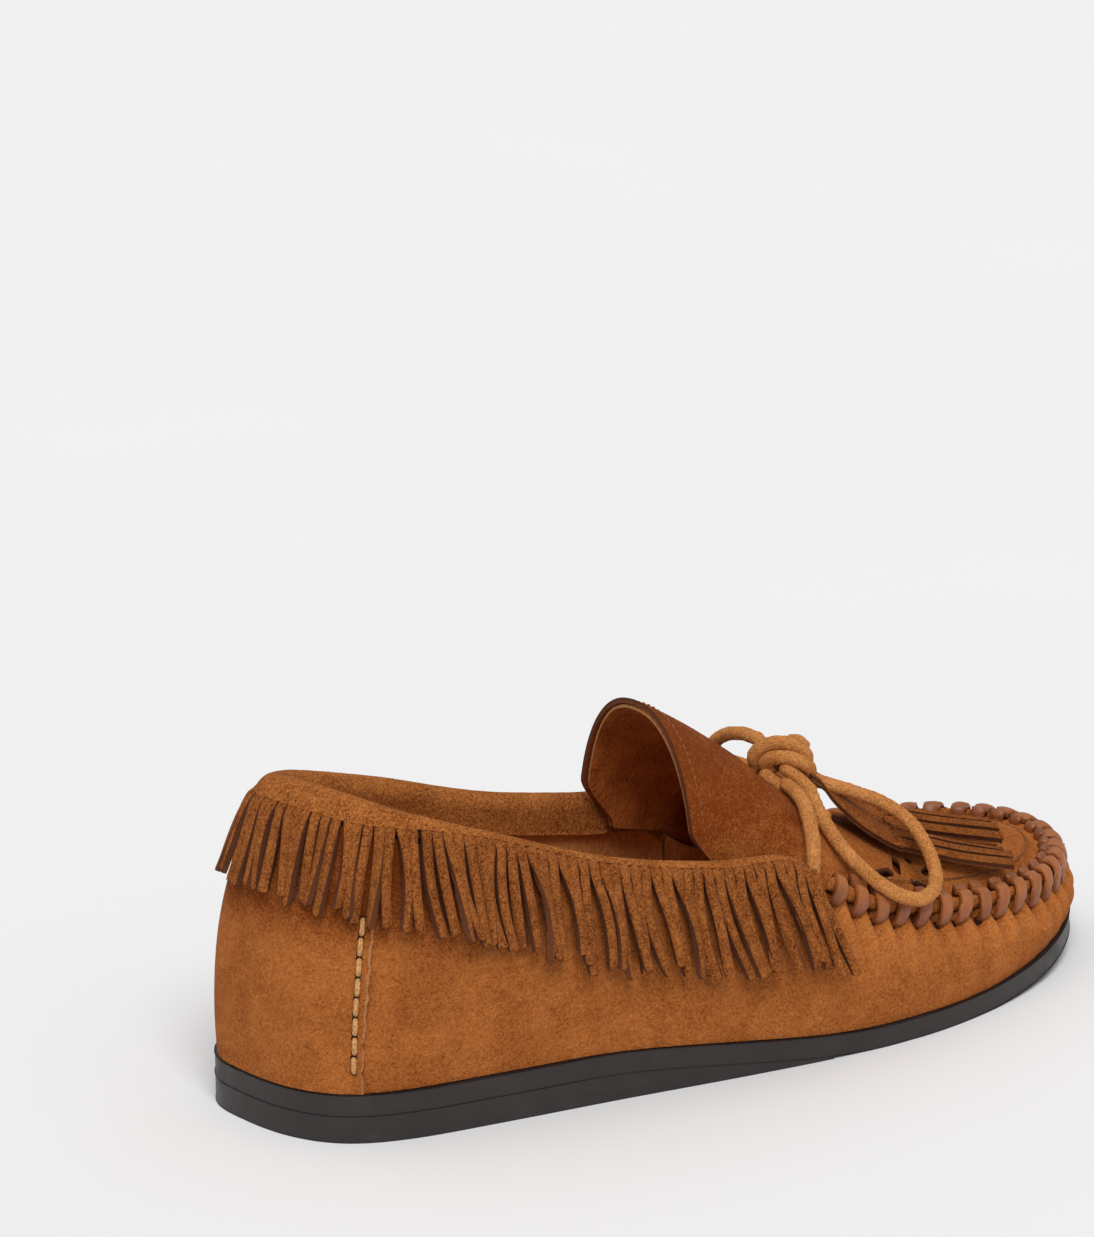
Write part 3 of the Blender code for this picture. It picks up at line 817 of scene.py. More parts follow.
def make_lace_turns():
    """Where the collar's lace comes out of the fold and turns up to the bow."""
    for name, station, route in (("lace_turn_outer", COLLAR_OUTER, RISER_OUTER),
                                 ("lace_turn_inner", COLLAR_INNER, RISER_INNER)):
        back = 0.22 if station < TOE else -0.22
        u = np.array([station - back, station + 0.1 * back])
        inside = collar_point(u, 0 * u + ROLL_MID, 0 * u + FOLD_CENTRE)
        line = evenly(through([inside[0], inside[1], route[0], route[1]], 60), 0.5)
        reach = int(len(line) * 0.8)
        ride(rope(name, line[:reach], LACE_R, lace_suede(), around=22, fuzz=0.1), "shoe", "lace_suede")


def make_knot():
    """Two thick wraps of the lace round the crossing, a tucked end, and the strands going in."""
    right, toward = np.array([0.829, -0.559, 0]), np.array([-0.525, -0.779, 0.342])
    up = np.cross(toward, right)
    # Each wrap: how far right, up and toward the outer side its points are, and its radius.
    wraps = [([(-5.9, -3.0, -2.6), (-6.8, -0.6, -0.6), (-5.4, 1.7, 0.9), (-2.4, 2.9, 1.9), (1.4, 2.9, 1.9),
               (4.6, 1.7, 1.0), (6.3, -0.4, -1.0), (6.0, -2.6, -3.2)], 2.2),
             ([(-3.2, -3.6, 0.2), (-3.9, -2.0, 1.8), (-2.4, -0.9, 3.2), (0.9, -0.7, 3.9), (4.4, -1.5, 3.5),
               (6.9, -3.0, 1.8), (7.4, -4.6, -0.6)], 2.1),
             ([(-3.5, -1.5, -2.5), (0, -1.0, -2.3), (3.5, -2, -2.3)], 3.2),
             ([(2.6, 4.2, -1.6), (4.6, 4.1, -0.8), (6.4, 2.6, -1.6)], 1.4)]
    bm = bmesh.new()
    for points, radius in wraps:
        p = np.asarray(points, float)
        line = evenly(through(KNOT + p[:, :1] * right + p[:, 1:2] * up + p[:, 2:] * toward, 80), 0.45)
        add_rope(bm, line, radius, radius * 0.92, around=28, fuzz=0.09, lumps=0.015, hint=tuple(toward))
    strands = [[(116.5, -2.5, 64.6), (120.3, -7.0, 60.6), (123.8, -11.6, 57.2), (127, -15.5, 54.6)],
               [(124.5, -4.5, 65.5), (127.6, -6.6, 63.6), (130.4, -8.2, 61.7)],
               [(121.0, -5.5, 66.5), (123.8, -8.6, 63.4), (125.4, -11.2, 60.8)],
               [(120.5, 3.0, 69.5), (121.5, 7.0, 70.4), (121.8, 9.5, 70.6)],
               [(121.5, 2.5, 66.0), (124.0, 6.5, 64.2), (125.6, 9.8, 63.0)]]
    for strand in strands:
        add_rope(bm, evenly(through(strand, 40), 0.45), LACE_R * 0.98, around=22, fuzz=0.09)
    ride(finish("bow_knot", bm, [lace_suede()], ROPE_SHARP), "shoe", "lace_suede", "knot")


# ------------------------------------------------------------ sole
def plate_grids(low, high, x1=None, rows=300, cols=22):
    """Under and upper face of a plate with the sole's outline, up to x1 or the whole length."""
    s = np.linspace(0, TOE, rows)
    if x1 is not None:
        fine = np.linspace(0, TOE, 2000)
        s = np.linspace(0, np.interp(x1, edge(fine)[:, 0], fine), rows)
    a, b = edge(s), edge(LAST - s * (LAST - TOE) / TOE)
    k = (1 - np.cos(np.linspace(0, math.pi, cols)))[None, :, None] / 2
    xy = a[:, None] * (1 - k) + b[:, None] * k
    x = xy[..., 0]
    return np.dstack([xy, low(x)]), np.dstack([xy, high(x)])


def make_sole():
    low, high = plate_grids(tread_z, sole_z)
    sole = slab("sole", low, high, [sole_leather()], round_off=0.2)
    ride(sole, "shoe", "sole", "outsole")
    low, high = plate_grids(lambda x: 0 * x, lambda x: tread_z(x) - 0.03, x1=110, rows=180)
    wedge = slab("wedge", low, high, [sole_leather()], round_off=0.1)
    ride(wedge, "shoe", "sole", "heel_wedge")


# ------------------------------------------------------------ upper
WHIP_FROM, WHIP_TO = 8.05, 20.95
WHIP_SLANT = 0.15
UNDER_COLLAR = 6.6


def whip_stations():
    """Seam stations of the whip stitches: wide apart on the sides, closer round the toe."""
    u = np.linspace(WHIP_FROM, WHIP_TO, 1200)
    line = ring(TOPLINE, u)
    step = np.linalg.norm(np.diff(line, axis=0), axis=1)
    pitch = 7.9 - 1.8 * np.exp(-((u[:-1] - TOE) / 2.8) ** 2)
    count = np.concatenate([[0], np.cumsum(step / pitch)])
    return np.interp(np.arange(int(count[-1]) + 1), count, u)


STITCH_U = whip_stations()
PUCKERS = 0.75 + 0.5 * rng.random(len(STITCH_U) + 2)


def gather(u, depth):
    """How far the wrapper stands out of its plain face: pinched in at each stitch, puffed between."""
    number = np.interp(u + WHIP_SLANT, STITCH_U, np.arange(len(STITCH_U)))
    ridge = np.sin(np.pi * (number - np.floor(number))) ** 1.3
    toe = np.exp(-((u - TOE) / 2.6) ** 2)
    deep = (2.3 + 1.1 * toe) * PUCKERS[np.floor(number).astype(int)]
    fade = np.exp(-(np.clip(depth - 3.5, 0, None) / (5.5 + 3.0 * toe)) ** 1.6)
    swell = 0.9 * np.exp(-((depth - 8) / 5) ** 2)
    soft = 0.16 * np.sin(u * 11.3 + 1.7 * np.sin(u * 3.1) + 0.15 * depth) * np.exp(-depth / 14)
    return at_front(u) * (fade * deep * (ridge - 0.70) + swell + soft)


def paint(obj, name, grid, values):
    """Gives each vertex the value of the grid point nearest to it."""
    flat = grid.reshape(-1, 3) * MM
    tree = KDTree(len(flat))
    for k, spot in enumerate(flat):
        tree.insert(spot, k)
    tree.balance()
    layer = obj.data.attributes.new(name, "FLOAT", "POINT")
    values = values.reshape(-1)
    for v, cell in zip(obj.data.vertices, layer.data):
        cell.value = float(values[tree.find(v.co)[1]])


def make_wrapper():
    """Suede round the foot, gathered into puckers under the whip stitches."""
    u = np.linspace(SEAM_OUTER + 0.004, SEAM_INNER - 0.004, 720)
    front = at_front(u)
    top = below_top(u, UNDER_COLLAR + (0.3 - UNDER_COLLAR) * front)
    v = top[:, None] * np.linspace(0, 1, 50)
    uu = u[:, None] + 0 * v
    depth = wall_height(u, v)
    dent = 0.22 * np.sin(uu * 1.9 + 0.7) * np.sin(depth * 0.12 + uu)
    d = gather(uu, depth) + dent
    lower, upper = wall_point(uu, v, 0 * v - SUEDE + 0.5 * d), wall_point(uu, v, d)
    obj = slab("wrapper", lower, upper, [upper_suede(), raw_edge()], rim=1)
    # Painted light on the puckers: lighter where the wrapper puffs out between stitches, darker in the pinch
    # at each stitch.
    paint(obj, "pucker_painted_light", upper, np.clip(gather(uu, depth) / 1.2, -1, 1) * (depth < 18))
    ride(obj, "shoe", "suede", "vamp")
    u = np.linspace(WHIP_FROM - 0.15, WHIP_TO + 0.15, 700)
    here, _, out = seam_frame(u)
    line = here + 0.25 * out + np.array([0, 0, 1.5])
    ride(rope("seam_ridge", line, 1.2, upper_suede(), high=1.9, around=12, fuzz=0.06), "shoe", "suede")


def seam_frame(u):
    """Point on the apron seam, direction along it, and level direction out of the shoe."""
    step = unit(ring(TOPLINE, u + NEARBY) - ring(TOPLINE, u - NEARBY))
    out = unit(np.stack([step[..., 1], -step[..., 0], 0 * step[..., 0]], -1))
    return ring(TOPLINE, u), step, out


def make_heel_panel():
    """Heel panel, lapped over the wrapper, with a raw pale edge and a slightly raised border."""
    u = np.linspace(SEAM_INNER - LAST, SEAM_OUTER, 150)
    u = np.concatenate([[u[0], u[0] + 0.035], u[2:-2], [u[-1] - 0.035, u[-1]]])
    top = below_top(u, UNDER_COLLAR + 0 * u)
    v = top[:, None] * np.linspace(0, 1, 90)
    uu = u[:, None] + 0 * v
    side = np.minimum(uu - u[0], u[-1] - uu)
    ragged = (0.010 * np.sin(v * 61) + 0.008 * np.sin(v * 131 + 1)) * (side < 0.04)
    uu = uu + ragged * np.where(uu > 0, 1, -1)
    lift = 0.6 * np.exp(-side / 0.07) + 0.12 * np.sin(uu * 2.3 + 4 * v) * np.sin(v * 9)
    lower, upper = wall_point(uu, v, 0 * v - 1.0), wall_point(uu, v, 0.40 + lift)
    obj = slab("heel_cover", lower, upper, [upper_suede(), raw_edge()], rim=1, round_off=0.12)
    border = np.concatenate([wall_point(0 * v[0] + w, v[0], 0 * v[0] + 1.0) for w in (u[0], u[-1])]) * MM
    for face in obj.data.polygons:
        if np.linalg.norm(border - np.array(face.center), axis=1).min() < 0.0006:
            face.material_index = 1
    ride(obj, "shoe", "suede", "heel_panel")


def make_heel_stitches():
    """Heavy running stitch of each heel seam: raised stitches between holes shown as plugs of painted shade.
    """
    for name, station, node in (("heel_stitches_outer", SEAM_OUTER - 0.20, "heel_thread_outer"),
                                ("heel_stitches_inner", SEAM_INNER - LAST + 0.24, "heel_thread_inner")):
        bm = bmesh.new()
        for start in np.linspace(28.5, 70, 9)[:-1]:
            depth = start + np.linspace(0, 3.9, 16)
            jig = 0.012 * (rng.random() - 0.5)
            uu = station + 0.05 * (depth - 28) / 42 + jig
            v = below_top(uu, depth)
            rise = 0.62 + 0.95 * np.sin(np.linspace(0, math.pi, 16)) ** 0.45
            add_rope(bm, wall_point(uu, v, rise - 0.1), 0.66, 0.52, around=12, fuzz=0.06)
            for end in (0, -1):
                hole = wall_point(uu[end:][:1], v[end:][:1], np.array([0.52]))[0]
                n = wall_frame(uu[end:][:1], v[end:][:1])[1][0]
                turn = Vector(n).to_track_quat("Z", "Y").to_matrix().to_4x4()
                add_hole(bm, hole, turn, (0.95, 0.7), 0.5, 14)
        ride(finish(name, bm, [waxed_thread(), hole_painted_shade()]), "shoe", "thread", node)


def make_lining():
    """Lining of the heel and sides, which ends inside the collar."""
    u = np.linspace(COLLAR_INNER - LAST - 0.15, COLLAR_OUTER + 0.15, 220)
    depth = SUEDE + COUNTER + 0.8 + LINING
    top = below_top(u, UNDER_COLLAR + 0.4 + 0 * u)
    v = 0.08 + (top - 0.08)[:, None] * np.linspace(0, 1, 40)
    uu = u[:, None] + 0 * v
    wave = 0.18 * np.sin(uu * 2.1 + 5 * v) * np.sin(uu * 0.7 + 9 * v)
    lower = wall_point(uu, v, 0 * v - depth + wave)
    upper = wall_point(uu, v, 0 * v - depth + LINING + 0.5 * wave)
    ride(slab("inner_lining", lower, upper, [lining_leather()]), "shoe", "lining_leather", "quarter_lining")


# ------------------------------------------------------------ collar and fringe
COLLAR_LEAN = 1.8


def leaning(u, h):
    """How far the collar leans in over the heel, fading out down the wall."""
    return -COLLAR_LEAN * np.exp(-((from_heel(u) - 0.4) / 2.2) ** 2) * smooth((10 + h) / 10)


def collar_point(u, d, h):
    """Point at a distance d out of the wall and h over its top edge."""
    here, n, up = wall_frame(u, 1.0 + 0 * u)
    d = np.asarray(d) + leaning(u, np.asarray(h))
    return here + d[..., None] * n + np.asarray(h)[..., None] * up


def fold_path(p, radius):
    """Section of the fold: p runs in mm down the outside, and back over the lace below zero."""
    turn = np.clip(-p / ROLL_R, 0, math.pi)
    down = np.clip(p, 0, None)
    return ROLL_MID + radius * np.cos(turn), FOLD_CENTRE + radius * np.sin(turn) - down


def slit_top(u):
    """Where the slits of the fringe begin: on the fold at the sides, lower round the heel."""
    return 2.0 - 4.6 * smooth((np.abs(from_heel(u)) - 1.6) / 2.6)


def make_collar():
    """Collar folded over the lace, with small gathers across the fold."""
    u = np.linspace(COLLAR_INNER - LAST, COLLAR_OUTER, 420)[:, None]
    share = np.linspace(0, 1, 20)[None, :]
    p = slit_top(u) * (1 - share) - math.pi * ROLL_R * share
    inner_leg = np.linspace(FOLD_CENTRE, -INNER_LEG, 12)[None, 1:]
    lean = 0.5 * np.linspace(0, 1, 12)[None, 1:]

    def fold(radius, wrinkle):
        d, h = fold_path(p, radius)
        d = np.hstack([d, 0 * u + ROLL_MID - radius - lean])
        h = np.hstack([h, 0 * u + inner_leg])
        about = np.stack([d - ROLL_MID, h - FOLD_CENTRE], -1)
        reach = np.linalg.norm(about, axis=-1)
        waves = (np.sin(u * 23 + 2 * np.sin(u * 5.3)) * 0.5 + np.sin(u * 41 + 1.3 * np.sin(u * 9.7)) * 0.35
                 + 0.5 * np.sin(u * 7.7 + 1))
        push = wrinkle * waves * (0.35 + 0.65 * np.clip(-h / 5, 0, 1)) * (d > ROLL_MID - 2)
        d = d + push * about[..., 0] / reach
        h = h + push * np.clip(about[..., 1], 0, None) / reach
        return collar_point(u + 0 * d, d, h)

    obj = slab("folded_collar", fold(ROLL_R - SUEDE / 2, 0.05), fold(ROLL_R + SUEDE / 2, 0.09),
               [collar_suede(), raw_edge()], rim=0, round_off=0.2)
    ride(obj, "shoe", "suede", "collar")


STRIP_PITCH = 3.05
STRIP_SHARP = 35


def make_fringe():
    """Fringe cut into strips, each hanging, curling and leaning its own way."""
    spans = {"outer": (3.05, COLLAR_OUTER), "heel": (-2.95, 3.0), "inner": (COLLAR_INNER, 26.0)}
    for name, (a, b) in spans.items():
        fine = np.linspace(a, b, 800)
        line = wall_point(fine, below_top(fine, 12.0 + 0 * fine), 3.0 + 0 * fine)
        run = run_of(line)
        count = int(round(run[-1] / STRIP_PITCH))
        per_mm = np.interp(np.linspace(0, run[-1], count + 1), run, fine)
        bm = bmesh.new()
        for k in range(count):
            u0, u1 = per_mm[k], per_mm[k + 1]
            add_strip(bm, (u0 + u1) / 2, (u1 - u0) / 2, name)
        obj = finish("fringe_strips_" + name, bm, [fringe_suede(), cut_side_and_gap_shade()], STRIP_SHARP)
        ride(obj, "shoe", "fringe_suede", "fringe_" + name)


def add_strip(bm, middle, half, side):
    """One strip: it leaves the fold flush with the collar, then hangs, turns and curls."""
    rows, cols = 22, 5
    s = np.linspace(0, 1, rows)[:, None]
    across = np.linspace(-1, 1, cols)[None, :]
    start = slit_top(middle) - 0.5
    end = FRINGE_BOTTOM + FOLD_CENTRE + 0.7 + rng.normal(0, 0.8)
    p = start + (end - start) * s
    turn = np.clip(-p / ROLL_R, 0, math.pi)
    radius = ROLL_R - SUEDE / 2 - 0.15 + 0.3 * smooth((p - start) / 2)
    d, h = fold_path(p, radius)
    v = below_top(middle + 0 * h, np.clip(-h, 0, None))
    top, n, up = wall_frame(middle + 0 * h, v)
    along = np.cross(n, up)
    spot = top + np.clip(h, 0, None)[..., None] * up
    face = np.cos(turn)[..., None] * n + np.sin(turn)[..., None] * up

    hang = np.clip(p / end, 0, 1)
    toward_toe = {"outer": 1, "heel": 0.0, "inner": -1}[side]
    front = smooth((middle - 6.6) / 0.85) if side == "outer" else 0.0
    drift = 1.1 * math.sin(2.3 * middle) + rng.normal(0, 1.0)
    lean = toward_toe * 2.4 + drift + 3.2 * front
    loose = 1.0 if rng.random() < 0.3 else 0.45
    twist, bend = loose * rng.normal(0, 0.8), rng.normal(0, 0.9)
    heel = 1 - smooth((abs(from_heel(middle)) - 1.2) / 2)
    stand = (1.7 * (1 - heel) + 0.3) * hang ** 2 + (1 - 0.7 * heel) * (1.7 * rng.random()) * smooth(2 * hang)
    curl = (rng.normal(0.4, 1.0) * (1 - 0.6 * heel) + 0.8 * front) * hang ** 3
    wide = half * np.linalg.norm(wall(middle + 0.05, 0.75) - wall(middle - 0.05, 0.75)) / 0.1
    slit = 0.8 + 2.6 * rng.random()
    width = wide * (1.0 - (0.09 + 0.06 * rng.random()) * smooth((p - start) / slit))
    roll = twist * hang ** 0.9
    wa = across * width
    shift = wa * np.cos(roll) - lean * hang ** 1.4 - bend * np.sin(math.pi * hang)
    puff = 0.5 * (1 - across ** 2) * smooth((p - start) / slit)
    away = d + leaning(middle + 0 * h, h) + stand + curl + wa * np.sin(roll) + puff
    spot = spot + away[..., None] * n + shift[..., None] * along
    facing = unit(np.cos(roll)[..., None] * face - np.sin(roll)[..., None] * along)
    ragged = 0.35 * rng.normal(size=cols)
    spot[-1] -= ragged[:, None] * up[-1]
    thick = 1.34 + 0.26 * smooth((p - start) / 3)
    add_slab(bm, spot, spot + thick[..., None] * facing, 1, 0.22)


# ------------------------------------------------------------ apron and tongue
def rise_at_edge(x, y):
    """Rolled lip of the apron along the whip seam."""
    away = from_seam(np.stack([x, y], -1))
    lip = 1.35 * np.exp(-((away - 2.6) / 1.5) ** 2)
    dip = -0.55 * np.exp(-((away - 5.6) / 1.3) ** 2)
    return (lip + dip) * smooth((x - HINGE_X + 6) / 14)


def creases(x, q):
    """Folds where the tongue bends, and soft unevenness all over."""
    fold = 0.35 * np.sin(x * 0.5 + 2.2 * q) * np.exp(-((x - BEND_X) / 10) ** 2)
    soft = 0.35 * np.sin(x * 0.21 + 1.1) * np.sin(q * 3.3 + 0.6 * np.sin(x * 0.13))
    return fold + soft


CORNER, CORNER_REACH = 9.0, 24
BEND_X = 112


def rounded(x, q):
    """Pulls the two rear corners of the tongue forward so that they are rounded."""
    share = 1 - smooth((x - TONGUE_REAR) / CORNER_REACH)
    return x + share * CORNER * (1 - smooth(bulge(q) ** 0.48 / 0.32))


def make_saddle():
    """Apron and tongue as one suede piece that bends at the instep, with small cut slots."""
    q = np.sin(np.linspace(-0.5, 0.5, 96) * math.pi)[None, :]
    back = np.linspace(TONGUE_REAR, 160, 110)
    fore = 160 + (210.5 - 160) * np.sin(np.linspace(0, 0.5, 60)[1:] * math.pi)
    x = np.concatenate([back, fore])[:, None]
    edge_in = 0.6 + 1.2 * smooth((x - HINGE_X + 10) / 12)
    x = rounded(x, q)
    x, q = np.broadcast_arrays(x, q)
    plain = saddle(x, q, 0.0, edge_in)
    lip = rise_at_edge(plain[..., 0], plain[..., 1])
    upper = saddle(x, q, lip + creases(x, q), edge_in)
    lower = saddle(x, q, 0.6 * lip + creases(x, q) - SUEDE, edge_in)
    obj = slab("apron_and_tongue", lower, upper, [upper_suede(), cut_side_and_gap_shade()], rim=1, round_off=0.15)
    cut_slots(obj)
    bend(obj, "suede", "apron", "tongue")


# Slots and holes of the apron's outer side: x, y, turn in degrees, length and width.
OUTER_CUTS = [(139, -25.5, 20, 7, 2.2), (145.5, -21.5, 60, 7, 2.2), (150.5, -26.5, -10, 7, 2.2),
              (156, -21, 30, 6, 2.0), (143, -28.8, 0, 2.0, 2.0), (151.5, -18.5, 0, 2.0, 2.0)]
INNER_CUTS = [(x, -y, -turn, long, wide) for x, y, turn, long, wide in OUTER_CUTS]


def cut_slots(obj):
    """Rows of plain slots and round holes, cut through to the leather beneath."""
    bm = bmesh.new()
    for x, y, turn, long, wide in OUTER_CUTS + INNER_CUTS:
        z = float(saddle_z(x, y))
        place = Matrix.Translation(Vector((x, y, z)) * MM) @ Matrix.Rotation(math.radians(turn), 4, "Z")
        made = bmesh.ops.create_cone(bm, cap_ends=True, segments=28, radius1=wide / 2 * MM,
                                     radius2=wide / 2 * MM, depth=9 * MM)["verts"]
        for w in made:
            w.co.x += math.copysign((long - wide) / 2 * MM, w.co.x)
        bmesh.ops.transform(bm, matrix=place, verts=made)
    cutter = finish("slot_cutter", bm, [cut_side_and_gap_shade()])
    cut = obj.modifiers.new("slots", "BOOLEAN")
    cut.operation, cut.solver, cut.object = "DIFFERENCE", "EXACT", cutter
    cut.material_mode = "TRANSFER"
    depsgraph = bpy.context.evaluated_depsgraph_get()
    mesh = bpy.data.meshes.new_from_object(obj.evaluated_get(depsgraph))
    obj.modifiers.clear()
    old, obj.data = obj.data, mesh
    bpy.data.meshes.remove(old)
    bpy.data.objects.remove(cutter)


def make_tongue_lining():
    """Smooth leather on the rear face of the tongue."""
    q = np.sin(np.linspace(-0.5, 0.5, 90) * math.pi)[None, :]
    x = rounded(np.linspace(TONGUE_REAR + 0.7, HINGE_X - 1.2, 60)[:, None], q)
    x, q = np.broadcast_arrays(x, q)
    d = creases(x, q)
    lower = saddle(x, q, d - SUEDE - 0.15 - LINING, 1.1)
    upper = saddle(x, q, d - SUEDE - 0.15, 1.1)
    obj = slab("tongue_back", lower, upper, [tongue_leather(), raw_edge()], rim=1)
    bend(obj, "lining_leather", "tongue_lining")


SEAM_TO_STITCHES, EDGE_TO_STITCHES = 7.4, 3.6
MACHINE_R = 0.24
MACHINE_STEP = 0.25
STEPS_A_STITCH, STEPS_SHOWN = 9, 6


def add_stitch_row(bm, line, normal):
    """Machine stitches laid along a line: short threads that dip in at both ends."""
    points = evenly(np.hstack([line, normal]), MACHINE_STEP)
    for start in range(0, len(points) - STEPS_A_STITCH, STEPS_A_STITCH):
        part = points[start:start + STEPS_SHOWN + 1]
        arc = np.sin(np.linspace(0, math.pi, len(part)))[:, None] ** 0.5
        path = part[:, :3] + unit(part[:, 3:]) * MACHINE_R * (arc - 0.5)
        add_rope(bm, path[::2], MACHINE_R, MACHINE_R * 0.8, around=6)


def offset_in(line, mm):
    """Seam line moved in towards the middle of the apron, seen from above."""
    step = np.gradient(line[:, :2], axis=0)
    n = unit(np.stack([-step[:, 1], step[:, 0]], -1))
    return line[:, :2] + mm * n


def make_stitch_rows():
    """Fine machine stitching inside the whip seam and round the tongue's edge."""
    bm = bmesh.new()
    seam = ring(TOPLINE, np.linspace(9.2, 19.9, 500))
    xy = offset_in(seam, SEAM_TO_STITCHES)
    z = saddle_z(xy[:, 0], xy[:, 1])
    line = np.column_stack([xy, z + 0.1])
    add_stitch_row(bm, line, np.broadcast_to([0.0, 0.0, 1.0], line.shape))
    ride(finish("apron_stitching", bm, [fine_thread()]), "shoe", "thread")

    for name, d in (("tongue_stitching_front", 0.05), ("tongue_stitching_back", -SUEDE - 0.2 - LINING)):
        bm = bmesh.new()
        qs = np.linspace(-0.985, 0.985, 400)
        xs = rounded(TONGUE_REAR + EDGE_TO_STITCHES + 0 * qs, qs)
        line = saddle(xs, qs, creases(xs, qs) + d, 0.8)
        normal = unit(saddle(xs, qs, 1.0 + 0 * xs, 0.8) - saddle(xs, qs, 0 * xs, 0.8))
        add_stitch_row(bm, line, normal if d > 0 else -normal)
        bend(finish(name, bm, [fine_thread()]), "thread")


# ------------------------------------------------------------ whip seam
# Section of one stitch: how far out of the seam and over it, from the wrapper to the apron.
WHIP_SECTION = [(-0.4, -3.6), (1.3, -3.2), (2.6, -1.4), (2.9, 1.0), (2.2, 3.2), (0.5, 4.4), (-1.4, 4.0)]
WHIP_HOLE_DEPTH = 3.9


def make_whip_seam():
    """Leather strip wound over the apron seam: one domed band for each stitch."""
    bm = bmesh.new()
    # Painted highlight of each band, strongest at its middle and fading to its ends.
    painted_band_highlight = bm.verts.layers.float.new("painted_band_highlight")
    rows, cols = 26, 9
    for u in STITCH_U:
        slant = WHIP_SLANT * (1 + 0.15 * rng.normal())
        share = np.linspace(-1, 0.7, len(WHIP_SECTION))
        points = []
        for (out, high), k in zip(WHIP_SECTION, share):
            at = np.array([u + slant * k])
            here, _, away = seam_frame(at)
            if high < 0:
                depth = np.array([-high])
                points.append(wall_point(at, below_top(at, depth), out + 0.35 * gather(at, depth))[0])
            else:
                points.append((here + out * away + np.array([0, 0, high]))[0])
        for k, inward, rise in ((0.8, 2.7, 1.6), (0.9, 3.5, -0.9)):
            at = np.array([u + slant * k])
            here, _, away = seam_frame(at)
            x, y = (here - inward * away)[0, :2]
            z = saddle_z(np.array([x]), np.array([y]))[0] + rise_at_edge(np.array([x]), np.array([y]))[0]
            points.append(np.array([x, y, z + rise]))
        line = evenly(through(points, 120), 0.01)
        line = line[np.linspace(0, len(line) - 1, rows).astype(int)]
        _, step, away = seam_frame(np.array([u]))
        tangent = unit(np.gradient(line, axis=0))
        side = unit(step - tangent * np.sum(step * tangent, -1, keepdims=True))
        normal = np.cross(side, tangent)
        middle = (points[0] + points[-1]) / 2
        normal = normal * np.sign(np.sum(normal * (line - middle), -1))[:, None]
        t = np.linspace(0, 1, rows)
        width = (2.15 + 0.1 * rng.normal()) * (0.70 + 0.30 * np.sin(np.pi * t) ** 0.4)
        across = np.linspace(-1, 1, cols)
        dome = 0.55 * (1 - np.abs(across) ** 2.5)
        spot = line[:, None] + (width[:, None] * across)[..., None] * side[:, None]
        upper = spot + (0.35 + dome)[None, :, None] * normal[:, None]
        lower = spot - 0.45 * normal[:, None]
        before = set(bm.verts)
        add_slab(bm, lower, upper, round_off=0.2)
        shine = np.sin(np.pi * t) ** 1.5
        for w in bm.verts:
            if w not in before:
                k = int(np.argmin(np.linalg.norm(line * MM - np.array(w.co), axis=1)))
                w[painted_band_highlight] = float(shine[k])
        # A plug of painted shade stands for the hole where the band goes into the wrapper.
        at = np.array([u - slant * 1.2])
        depth = np.array([WHIP_HOLE_DEPTH])
        hole, n, _ = wall_frame(at, below_top(at, depth))
        hole = hole[0] + (gather(at, depth)[0] + 0.05) * n[0]
        turn = Matrix((step[0], np.cross(n[0], step[0]), n[0])).transposed().to_4x4()
        add_hole(bm, hole, turn, (1.75, 1.4), 0.7, 16, flat=0.72)
    obj = finish("whip_stitches", bm, [stitch_leather(), hole_painted_shade()], 60)
    ride(obj, "shoe", "whip_leather", "whip_lace")


# ------------------------------------------------------------ tassels
TASSEL_ARCH = math.radians(66)


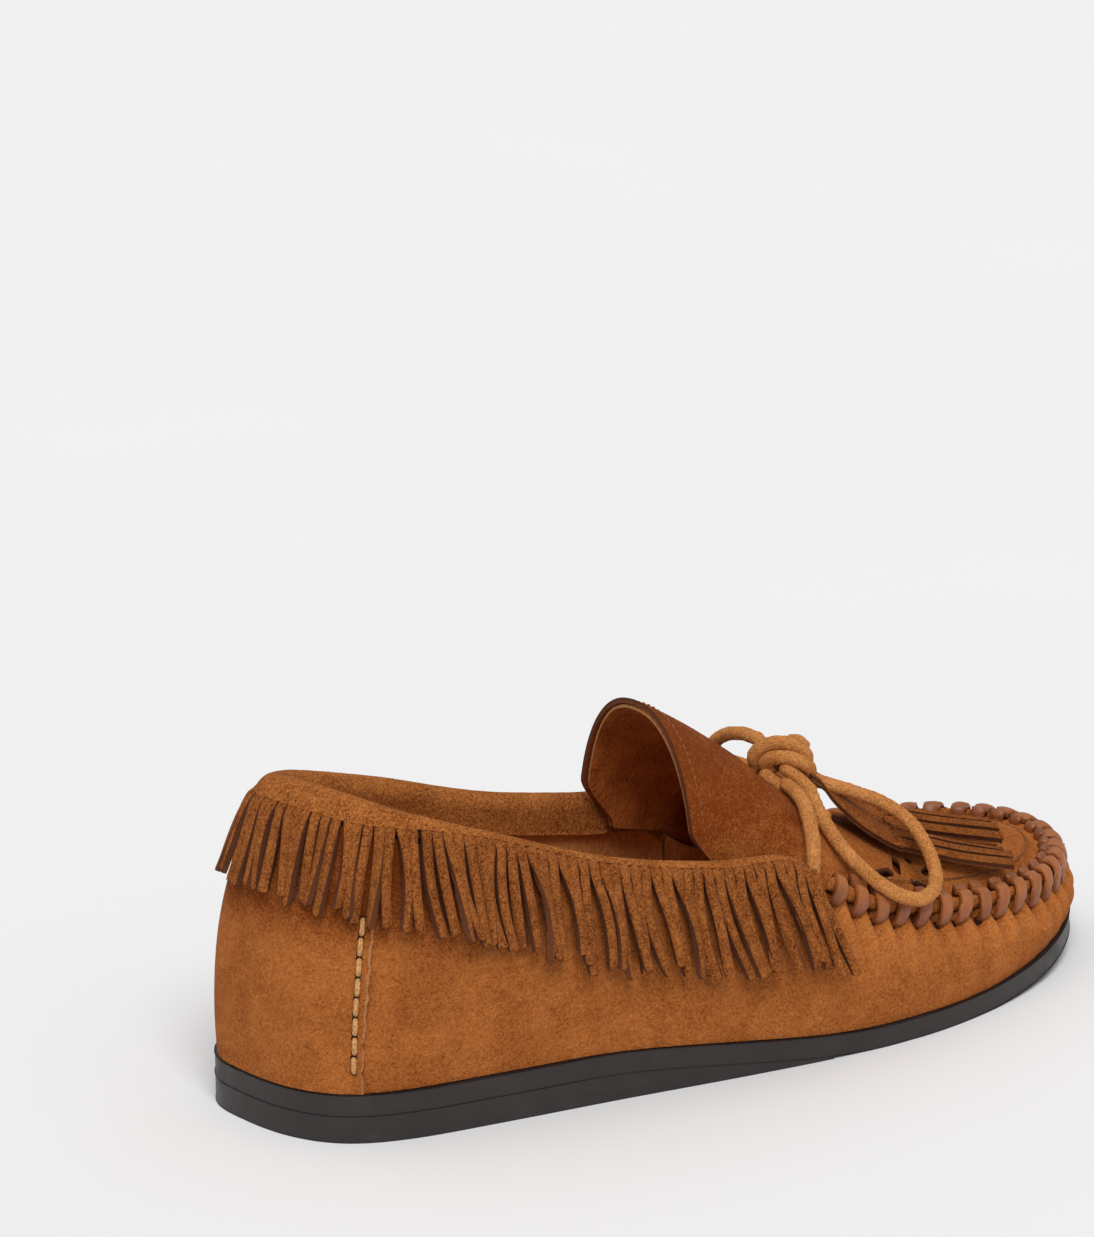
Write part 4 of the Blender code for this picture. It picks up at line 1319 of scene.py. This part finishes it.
def make_tassel(name, line, strips, node):
    """Tassel: a flat head at the knot, rolled over and cut into strips towards its square end."""
    start = np.array(line[0]) + np.array([-5.5, 1.0] if line[0][1] < 0 else [-3.5, -0.6])
    mid = evenly(through([start] + list(line), 160), 0.7)
    total = len(mid)
    step = unit(np.gradient(mid, axis=0))
    side = np.stack([-step[:, 1], step[:, 0]], -1)
    s = np.linspace(0, 1, total)
    half = 4.2 + 1.9 * smooth(s / 0.30)
    arch = 0.6 + 2.9 * smooth((s - 0.05) / 0.4)
    bottom = saddle_z(mid[:, 0], mid[:, 1]) + 0.9 + 8.4 * (1 - smooth(s / 0.42))
    slit = int(total * 0.40)

    def sheet_at(part, q):
        """Two faces of the arched sheet: q runs across it from -1 to 1."""
        a = q * TASSEL_ARCH
        w = half[part, None] * np.sin(a) / math.sin(TASSEL_ARCH)
        h = arch[part, None] * (np.cos(a) - math.cos(TASSEL_ARCH)) / (1 - math.cos(TASSEL_ARCH))
        xy = mid[part, None] + side[part, None] * w[..., None]
        low = np.dstack([xy, bottom[part, None] + h])
        lean = np.arctan2(arch[part, None] * np.sin(a), half[part, None])
        face = np.dstack([side[part, None] * np.sin(lean)[..., None], np.cos(lean)])
        return low, face

    q = np.broadcast_to(np.linspace(-1, 1, 15), (slit + 3, 15))
    low, face = sheet_at(slice(0, slit + 3), q)
    bm = bmesh.new()
    add_slab(bm, low, low + 1.5 * face, 1, 0.2)
    border = np.linspace(-1, 1, strips + 1)
    for k in range(strips):
        t = np.linspace(0, 1, total - slit)[:, None]
        gap = 0.035 + 0.03 * smooth(t * 3)
        a, b = border[k] + gap, border[k + 1] - gap
        q = a + (b - a) * np.linspace(0, 1, 5) + rng.normal(0, 0.04) * t ** 1.5
        low, face = sheet_at(slice(slit, total), q)
        lift = (0.5 * rng.random()) * t ** 2 + 0.25 * np.sin(4 * t + rng.random() * 6) * t
        puff = 0.35 * (1 - np.linspace(-1, 1, 5) ** 2)
        low = low + (lift + puff)[..., None] * face
        low[-1] += rng.normal(0, 0.5) * np.append(step[-1], 0)
        add_slab(bm, low, low + (1.55 + 0.2 * rng.random()) * face, 1, 0.22)
    ride(finish(name, bm, [tassel_suede(), cut_side_and_gap_shade()], STRIP_SHARP), node, "fringe_suede", node)


def carried_over():
    """Finishes of the CAD pieces that stay as they are."""
    looks = {"collar_lace": lace_suede, "vamp_lining": lining_leather, "sock": lining_leather,
             "apron_underlay": stitch_leather, "heel_counter": fibre_board, "insole_board": fibre_board,
             "cork_filler": cork_sheet, "heel_pad": heel_foam, "shank": spring_steel}
    for node, look in looks.items():
        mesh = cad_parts[node].data
        mesh.materials.clear()
        mesh.materials.append(look())


make_camera()
make_studio()
make_laces()
make_lace_turns()
make_knot()
make_sole()
make_wrapper()
make_heel_panel()
make_heel_stitches()
make_lining()
make_collar()
make_fringe()
make_saddle()
make_tongue_lining()
make_stitch_rows()
make_whip_seam()
make_tassel("tassel_near", TASSEL_OUTER, 5, "tassel_outer")
make_tassel("tassel_far", TASSEL_INNER, 5, "tassel_inner")
carried_over()
